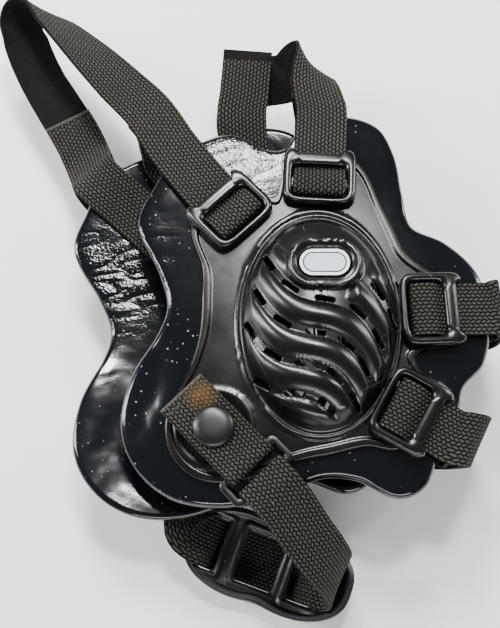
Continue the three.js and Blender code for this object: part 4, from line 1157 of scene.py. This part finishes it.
# The chin strap's way, as in the frame's model

def snap_point(w):
    deg = math.radians(SNAP_PLACE["deg"])
    return bend(SNAP_PLACE["reach"] * math.cos(deg), SNAP_PLACE["reach"] * math.sin(deg), w)


SNAP_SEAT = PLATE_TOP + SOCKET_HEIGHT + SEAT_GAP
TAB_LOW = SNAP_SEAT + SNAP_BASE_HEIGHT + SEAT_GAP + WEBBING_THICKNESS / 2
TAB_TOP = TAB_LOW + WEBBING_THICKNESS + SEAT_GAP
CAP_SEAT = TAB_TOP + WEBBING_THICKNESS / 2 + SEAT_GAP
BAR_AHEAD = (SLIDER_DEPTH - SLIDER_BAR) / 2
WRAP = SLIDER_THICKNESS / 2 + SEAT_GAP + WEBBING_THICKNESS / 2
WRAP_SIDE = SLIDER_BAR / 2 + SEAT_GAP + WEBBING_THICKNESS / 2
SLIDER_LEVEL = (TAB_LOW + TAB_TOP) / 2


def tab_station(ahead, w):
    at = snap_point(w) + ahead * Vector((math.cos(TAB_HEADING), math.sin(TAB_HEADING), 0))
    return at, Vector((-math.sin(TAB_HEADING), math.cos(TAB_HEADING), 0))


def round_bar(bar, way, lead=0):
    """The webbing's turn round a bar of the slider, on its far side (way 1) or its near one (-1)."""
    side = way * WRAP_SIDE
    turn = [
        (-lead, -WRAP), (side * TURN_CORNER, -WRAP * TURN_CORNER), (side, 0),
        (side * TURN_CORNER, WRAP * TURN_CORNER), (-lead, WRAP),
    ]
    return [tab_station(bar + ahead, SLIDER_LEVEL + up) for ahead, up in turn]


def snap_tab():
    near = SLIDER_AHEAD - BAR_AHEAD
    spread = near - 2 * WRAP
    return band([
        tab_station(-TAB_BEHIND + 1.5, TAB_LOW - 1.2),
        tab_station(-TAB_BEHIND * 0.6, TAB_LOW),
        tab_station(0, TAB_LOW),
        tab_station(spread, TAB_LOW),
        *round_bar(near, 1, SLIDER_BAR / 2),
        tab_station(spread, TAB_TOP),
        tab_station(0, TAB_TOP),
        tab_station(-TAB_BEHIND * 0.6, TAB_TOP),
        tab_station(-TAB_BEHIND, TAB_TOP - 1.2),
    ], 0.9)


CUP_SLOTS = [(-0.39, -0.285), (-0.165, 0.07), (0.145, 0.31)]
CUP_SLOT_WIDTH = WEBBING_WIDTH + 0.8
CUP_FLOOR = -STACK_HALF + SEAT_GAP + WEBBING_THICKNESS + 2 * FIT
CHIN_FALL = [
    (0.0, 0.285, 0.57, -25),
    (0.14, 0.19, 0.42, -20),
    (0.29, 0.105, 0.2, -12),
    (0.37, 0.062, -0.06, -8),
    (0.4, 0.035, -0.28, -4),
    (0.385, 0.01, -0.45, 0),
]
CHIN_RETURN = [(-0.48, 0.02, -0.455, -16), (-0.525, 0.1, -0.5, -34)]


def cup_under(along, across):
    rise = CHIN_CUP_RISE * (2 * along / CHIN_CUP_LENGTH) ** 2
    return CUP_FLOOR + rise + CHIN_CUP_SIDE_RISE * (2 * across / CHIN_CUP_WIDTH) ** 2


def on_chin_cup(along, across, z):
    c, s = math.cos(CHIN_CUP_TURN), math.sin(CHIN_CUP_TURN)
    return Vector((CHIN_CUP_X + along * c - across * s, CHIN_CUP_Y + along * s + across * c, z))


def chin_stations(rows):
    made = []
    for along, across, up, turn in rows:
        heading = CHIN_CUP_TURN + math.radians(turn + 90)
        at = on_chin_cup(along * CHIN_CUP_LENGTH, across * CHIN_CUP_LENGTH, up * STACK_HALF)
        made.append((at, Vector((math.cos(heading), math.sin(heading), 0))))
    return made


def through_cup():
    half = WEBBING_THICKNESS / 2

    def under(share):
        return share, cup_under(share * CHIN_CUP_LENGTH, 0) - FIT - half

    def over(share):
        edge = cup_under(share * CHIN_CUP_LENGTH, WEBBING_WIDTH / 2)
        return share, edge + CHIN_CUP_THICKNESS + 3 * FIT + half

    rows = [over(0.36), over(0.285)]
    rows += [under(share) for share in (0.17, 0.12, 0.05, -0.05, -0.15, -0.25, -0.3)]
    rows += [over(-0.365), over(-0.42)]
    across = on_chin_cup(0, 1, 0) - on_chin_cup(0, 0, 0)
    return [(on_chin_cup(share * CHIN_CUP_LENGTH, 0, z), across) for share, z in rows]


def chin_strap():
    far = SLIDER_AHEAD + BAR_AHEAD
    wrap = [
        tab_station(far + 14, SLIDER_LEVEL - WRAP - 1.4),
        tab_station(far + 8, SLIDER_LEVEL - WRAP - 0.4),
        *round_bar(far, -1),
        tab_station(far + 8, SLIDER_LEVEL + WRAP),
    ]
    heading = CHIN_CUP_TURN - math.radians(37)
    ahead = []
    for distance in (26, 14, 0, -12, -20):
        at = LOWER @ snap_point(TAB_LOW)
        at += distance * Vector((math.cos(heading), math.sin(heading), 0))
        ahead.append((at, Vector((-math.sin(heading), math.cos(heading), 0))))
    through = through_cup()
    fall = smoothed([wrap[-1], *chin_stations(CHIN_FALL), through[0]], 28)
    back = smoothed([through[-1], *chin_stations(CHIN_RETURN), ahead[0]], 16)
    return band([*wrap, *fall[1:-1], *through, *back[1:-1], *ahead])


# Snaps, slider, badge and chin cup

def spun(profile, steps=64):
    """A profile of (radius, height) spun once round the upright axis."""
    bm = bmesh.new()
    verts = [bm.verts.new((radius, 0, height)) for radius, height in profile]
    edges = [bm.edges.new(pair) for pair in zip(verts, verts[1:])]
    bmesh.ops.spin(
        bm, geom=verts + edges, cent=(0, 0, 0), axis=(0, 0, 1), angle=2 * math.pi,
        steps=steps, use_merge=True,
    )
    bmesh.ops.remove_doubles(bm, verts=bm.verts[:], dist=0.001)
    bmesh.ops.recalc_face_normals(bm, faces=bm.faces[:])
    return bm


def snap(seat, cap_seat):
    profile = [
        (0, seat),
        (SNAP_BASE_RADIUS, seat),
        (SNAP_BASE_RADIUS, seat + SNAP_BASE_HEIGHT),
        (SNAP_POST_RADIUS, seat + SNAP_BASE_HEIGHT),
        (SNAP_POST_RADIUS, cap_seat),
        (SNAP_RADIUS - 0.5, cap_seat),
    ]
    for i in range(17):
        turn = math.pi / 2 * i / 16
        radius = SNAP_RADIUS * math.cos(turn) ** 0.55
        profile.append((radius, cap_seat + 0.5 + (SNAP_EDGE + SNAP_DOME - 0.5) * math.sin(turn) ** 1.1))
    bm = spun(profile)
    at = snap_point(0)
    bmesh.ops.translate(bm, vec=at, verts=bm.verts[:])
    return bm


def rounded_ring(length, width, bar, thickness, outer_radius, inner_radius):
    """A flat rounded-rectangle ring with a rounded section."""
    around, section = 96, 14

    def rim(half_x, half_y, radius, share):
        sides = [
            (half_x - radius, half_y - radius, 0),
            (-half_x + radius, half_y - radius, 1),
            (-half_x + radius, -half_y + radius, 2),
            (half_x - radius, -half_y + radius, 3),
        ]
        quarter = min(int(share * 4), 3)
        cx, cy, k = sides[quarter]
        turn = math.pi / 2 * (k + share * 4 - quarter)
        return cx + radius * math.cos(turn), cy + radius * math.sin(turn)

    def place(j, i):
        share = (j % around) / around
        o = rim(length / 2, width / 2, outer_radius, share)
        n = rim(length / 2 - bar, width / 2 - bar, inner_radius, share)
        turn = 2 * math.pi * (i % section) / section
        c, s = math.cos(turn), math.sin(turn)
        spread = math.copysign(abs(c) ** 0.6, c) / 2
        lift = math.copysign(abs(s) ** 0.6, s) / 2
        return Vector((
            (o[0] + n[0]) / 2 + spread * (o[0] - n[0]),
            (o[1] + n[1]) / 2 + spread * (o[1] - n[1]),
            lift * thickness,
        ))

    bm = lattice(around, section, place)
    bmesh.ops.recalc_face_normals(bm, faces=bm.faces[:])
    return bm


def slider():
    bm = rounded_ring(SLIDER_DEPTH, SLIDER_LENGTH, SLIDER_BAR, SLIDER_THICKNESS, 3.2, 1)
    at, _ = tab_station(SLIDER_AHEAD, SLIDER_LEVEL)
    turn = Matrix.Translation(at) @ Matrix.Rotation(TAB_HEADING, 4, "Z")
    bmesh.ops.transform(bm, matrix=turn, verts=bm.verts[:])
    return bm


RIM_WIDTH = 1.3
LINE_WIDTH = 0.7


def badge():
    """The plate, whose rim, line and field are its three materials in turn."""
    bm = bmesh.new()
    bmesh.ops.create_circle(bm, cap_ends=True, segments=48, radius=BADGE_WIDTH / 2)
    core = (BADGE_LENGTH - BADGE_WIDTH) / 2
    for vert in bm.verts:
        vert.co.x += math.copysign(core, vert.co.x)
    plate = bmesh.ops.extrude_face_region(bm, geom=bm.faces[:])
    raised = [item for item in plate["geom"] if isinstance(item, bmesh.types.BMVert)]
    top = HALF_FOLD + GUARD_CROWN + RING_TOP - RING_RECESS
    bmesh.ops.translate(bm, vec=(0, 0, BADGE_THICKNESS), verts=raised)
    face = next(item for item in plate["geom"] if isinstance(item, bmesh.types.BMFace))
    for number, width in ((1, RIM_WIDTH), (2, LINE_WIDTH)):
        bmesh.ops.inset_region(bm, faces=[face], thickness=width, use_even_offset=True)
        face.material_index = number
    bmesh.ops.translate(bm, vec=(BADGE_X, BADGE_Y, top - BADGE_THICKNESS), verts=bm.verts[:])
    bmesh.ops.recalc_face_normals(bm, faces=bm.faces[:])
    return bm


def cup_bead(along, across, inset):
    """The soft raised rims round the chin cup's slots and edge."""
    near = inset - 1.6
    for start, end in CUP_SLOTS:
        past = abs(along - (start + end) / 2 * CHIN_CUP_LENGTH) - (end - start) / 2 * CHIN_CUP_LENGTH
        aside = abs(across) - CUP_SLOT_WIDTH / 2
        near = min(near, math.hypot(max(past, 0), max(aside, 0)))
    return CHIN_CUP_BEAD * smoothstep(-0.6, 1.2, near) * (1 - smoothstep(1.8, 4.2, near))


def chin_cup():
    columns = 260
    edge = CHIN_CUP_ROUNDING
    corner = rounding(edge, 6)
    rows = [(i / 46, 0, CHIN_CUP_THICKNESS) for i in range(46)]
    rows += [(1, near, CHIN_CUP_THICKNESS - far) for near, far in corner]
    rows += [(1, far, near) for near, far in corner]
    rows += [(1 - i / 10, 0, 0) for i in range(1, 11)]

    def outline(angle):
        c, s = abs(math.cos(angle)), abs(math.sin(angle))
        reach = (2 * c / CHIN_CUP_LENGTH) ** CHIN_CUP_POWER + (2 * s / CHIN_CUP_WIDTH) ** CHIN_CUP_POWER
        return reach ** (-1 / CHIN_CUP_POWER) * (1 - 0.1 * s**8)

    def place(j, i):
        angle = 2 * math.pi * (j % columns) / columns
        share, inset, lift = rows[i]
        reach = (outline(angle) - edge) * share + (edge - inset if share == 1 else 0)
        along, across = reach * math.cos(angle), reach * math.sin(angle)
        if lift == CHIN_CUP_THICKNESS:
            lift += cup_bead(along, across, outline(angle) - reach)
        return Vector((along, across, cup_under(along, across) + lift))

    bm = lattice(columns, len(rows) - 1, place)
    for start, end in CUP_SLOTS:
        middle = (start + end) / 2 * CHIN_CUP_LENGTH
        cut_slot(bm, middle, 0, 0, (end - start) * CHIN_CUP_LENGTH, CUP_SLOT_WIDTH, 2.4)
    close(bm)
    turn = Matrix.Translation((CHIN_CUP_X, CHIN_CUP_Y, 0)) @ Matrix.Rotation(CHIN_CUP_TURN, 4, "Z")
    bmesh.ops.transform(bm, matrix=turn, verts=bm.verts[:])
    return bm


# Putting it together

def dress(made, node):
    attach(made, "root")
    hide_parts(node)


def webbing_strap(name, node, made):
    """A length of webbing as a piece that replaces its node."""
    bm, length = made
    strap = piece(name, bm, WEBBING, sharp=60)
    # The second material, dark loop tape, is partly painted shade on the inner faces.
    strap.data.materials.append(TAPE_AND_SHADE_MATERIAL)
    dress(strap, node)


for side, matrix in (("upper", UPPER), ("lower", LOWER)):
    pad = piece(f"foam_pad_{side}", ear_pad(), VINYL, matrix)
    dress(pad, f"ear_pad_{side}")
    shell = shell_object(f"moulded_shell_{side}", matrix)
    dress(shell, f"ear_shell_{side}")
    for name, strap_frame in FRAMES.items():
        bm = frame_ring(strap_frame)
        join(bm, centre_bar(strap_frame))
        ring = piece(f"{name}_frame_{side}", bm, PLASTIC, matrix)
        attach(ring, "root")
    plate = piece(f"badge_plate_{side}", badge(), PLATE[0], matrix)
    for enamel in PLATE[1:]:
        plate.data.materials.append(enamel)
    dress(plate, f"badge_{side}")

for name in FRAMES:
    tape_and_shade_from = max(FRAMES[name]["tuck"]) + TAPE_AND_SHADE_BEYOND
    tip_tape = CROWN_TIP_TAPE if name == "crown" else 0
    made = band(strap_stations(name), tape_and_shade_from=tape_and_shade_from, tip_tape=tip_tape)
    webbing_strap(f"{name}_webbing", f"{name}_strap", made)
webbing_strap("doubled_tab", "snap_tab", snap_tab())
webbing_strap("chin_webbing", "chin_strap", chin_strap())
lower_cap_seat = TAB_LOW + WEBBING_THICKNESS / 2 + SEAT_GAP
dress(piece("snap_cap_upper", snap(SNAP_SEAT, CAP_SEAT), ENAMEL), "snap_upper")
lower_snap = piece("snap_cap_lower", snap(SNAP_SEAT, lower_cap_seat), ENAMEL, LOWER)
dress(lower_snap, "snap_lower")
dress(piece("two_bar_slider", slider(), NYLON), "slider")
cup = piece("moulded_chin_cup", chin_cup(), CUP_VINYL)
dress(cup, "chin_cup")


# Floor and light

def floor():
    bm = bmesh.new()
    bmesh.ops.create_grid(bm, x_segments=1, y_segments=1, size=3)
    mesh = bpy.data.meshes.new("table_top")
    bm.to_mesh(mesh)
    bm.free()
    mesh.materials.append(FLOOR)
    made = bpy.data.objects.new("table_top", mesh)
    bpy.context.scene.collection.objects.link(made)


def softbox(name, toward, distance, size, radiance, turn=0):
    """A soft light in a direction from the guard that faces it; radiance is what a mirror would show."""
    data = bpy.data.lights.new(name, "AREA")
    data.shape = "RECTANGLE"
    data.size, data.size_y = size
    data.energy = radiance * math.pi * size[0] * size[1]
    made = bpy.data.objects.new(name, data)
    bpy.context.scene.collection.objects.link(made)
    away = Vector(toward).normalized()
    made.location = away * distance
    facing = (-away).to_track_quat("-Z", "Y").to_matrix() @ Matrix.Rotation(math.radians(turn), 3, "Z")
    made.rotation_euler = facing.to_euler()


floor()
softbox("near_window", (0.08, 0.38, 0.92), 1.2, (0.2, 0.12), 150)
softbox("far_window", (-0.11, 0.63, 0.77), 1.2, (0.26, 0.26), 80)
softbox("left_strip", (-0.85, 0.15, 0.42), 1.3, (0.3, 1.2), 26)
softbox("right_strip", (0.85, 0.4, 0.36), 1.3, (0.25, 1.1), 16)
softbox("front_strip", (0.1, -0.9, 0.4), 1.4, (1.2, 0.25), 14)
world = bpy.data.worlds.new("room")
world.use_nodes = True
world.node_tree.nodes["Background"].inputs["Color"].default_value = (1, 1, 1, 1)
world.node_tree.nodes["Background"].inputs["Strength"].default_value = 0.16
bpy.context.scene.world = world
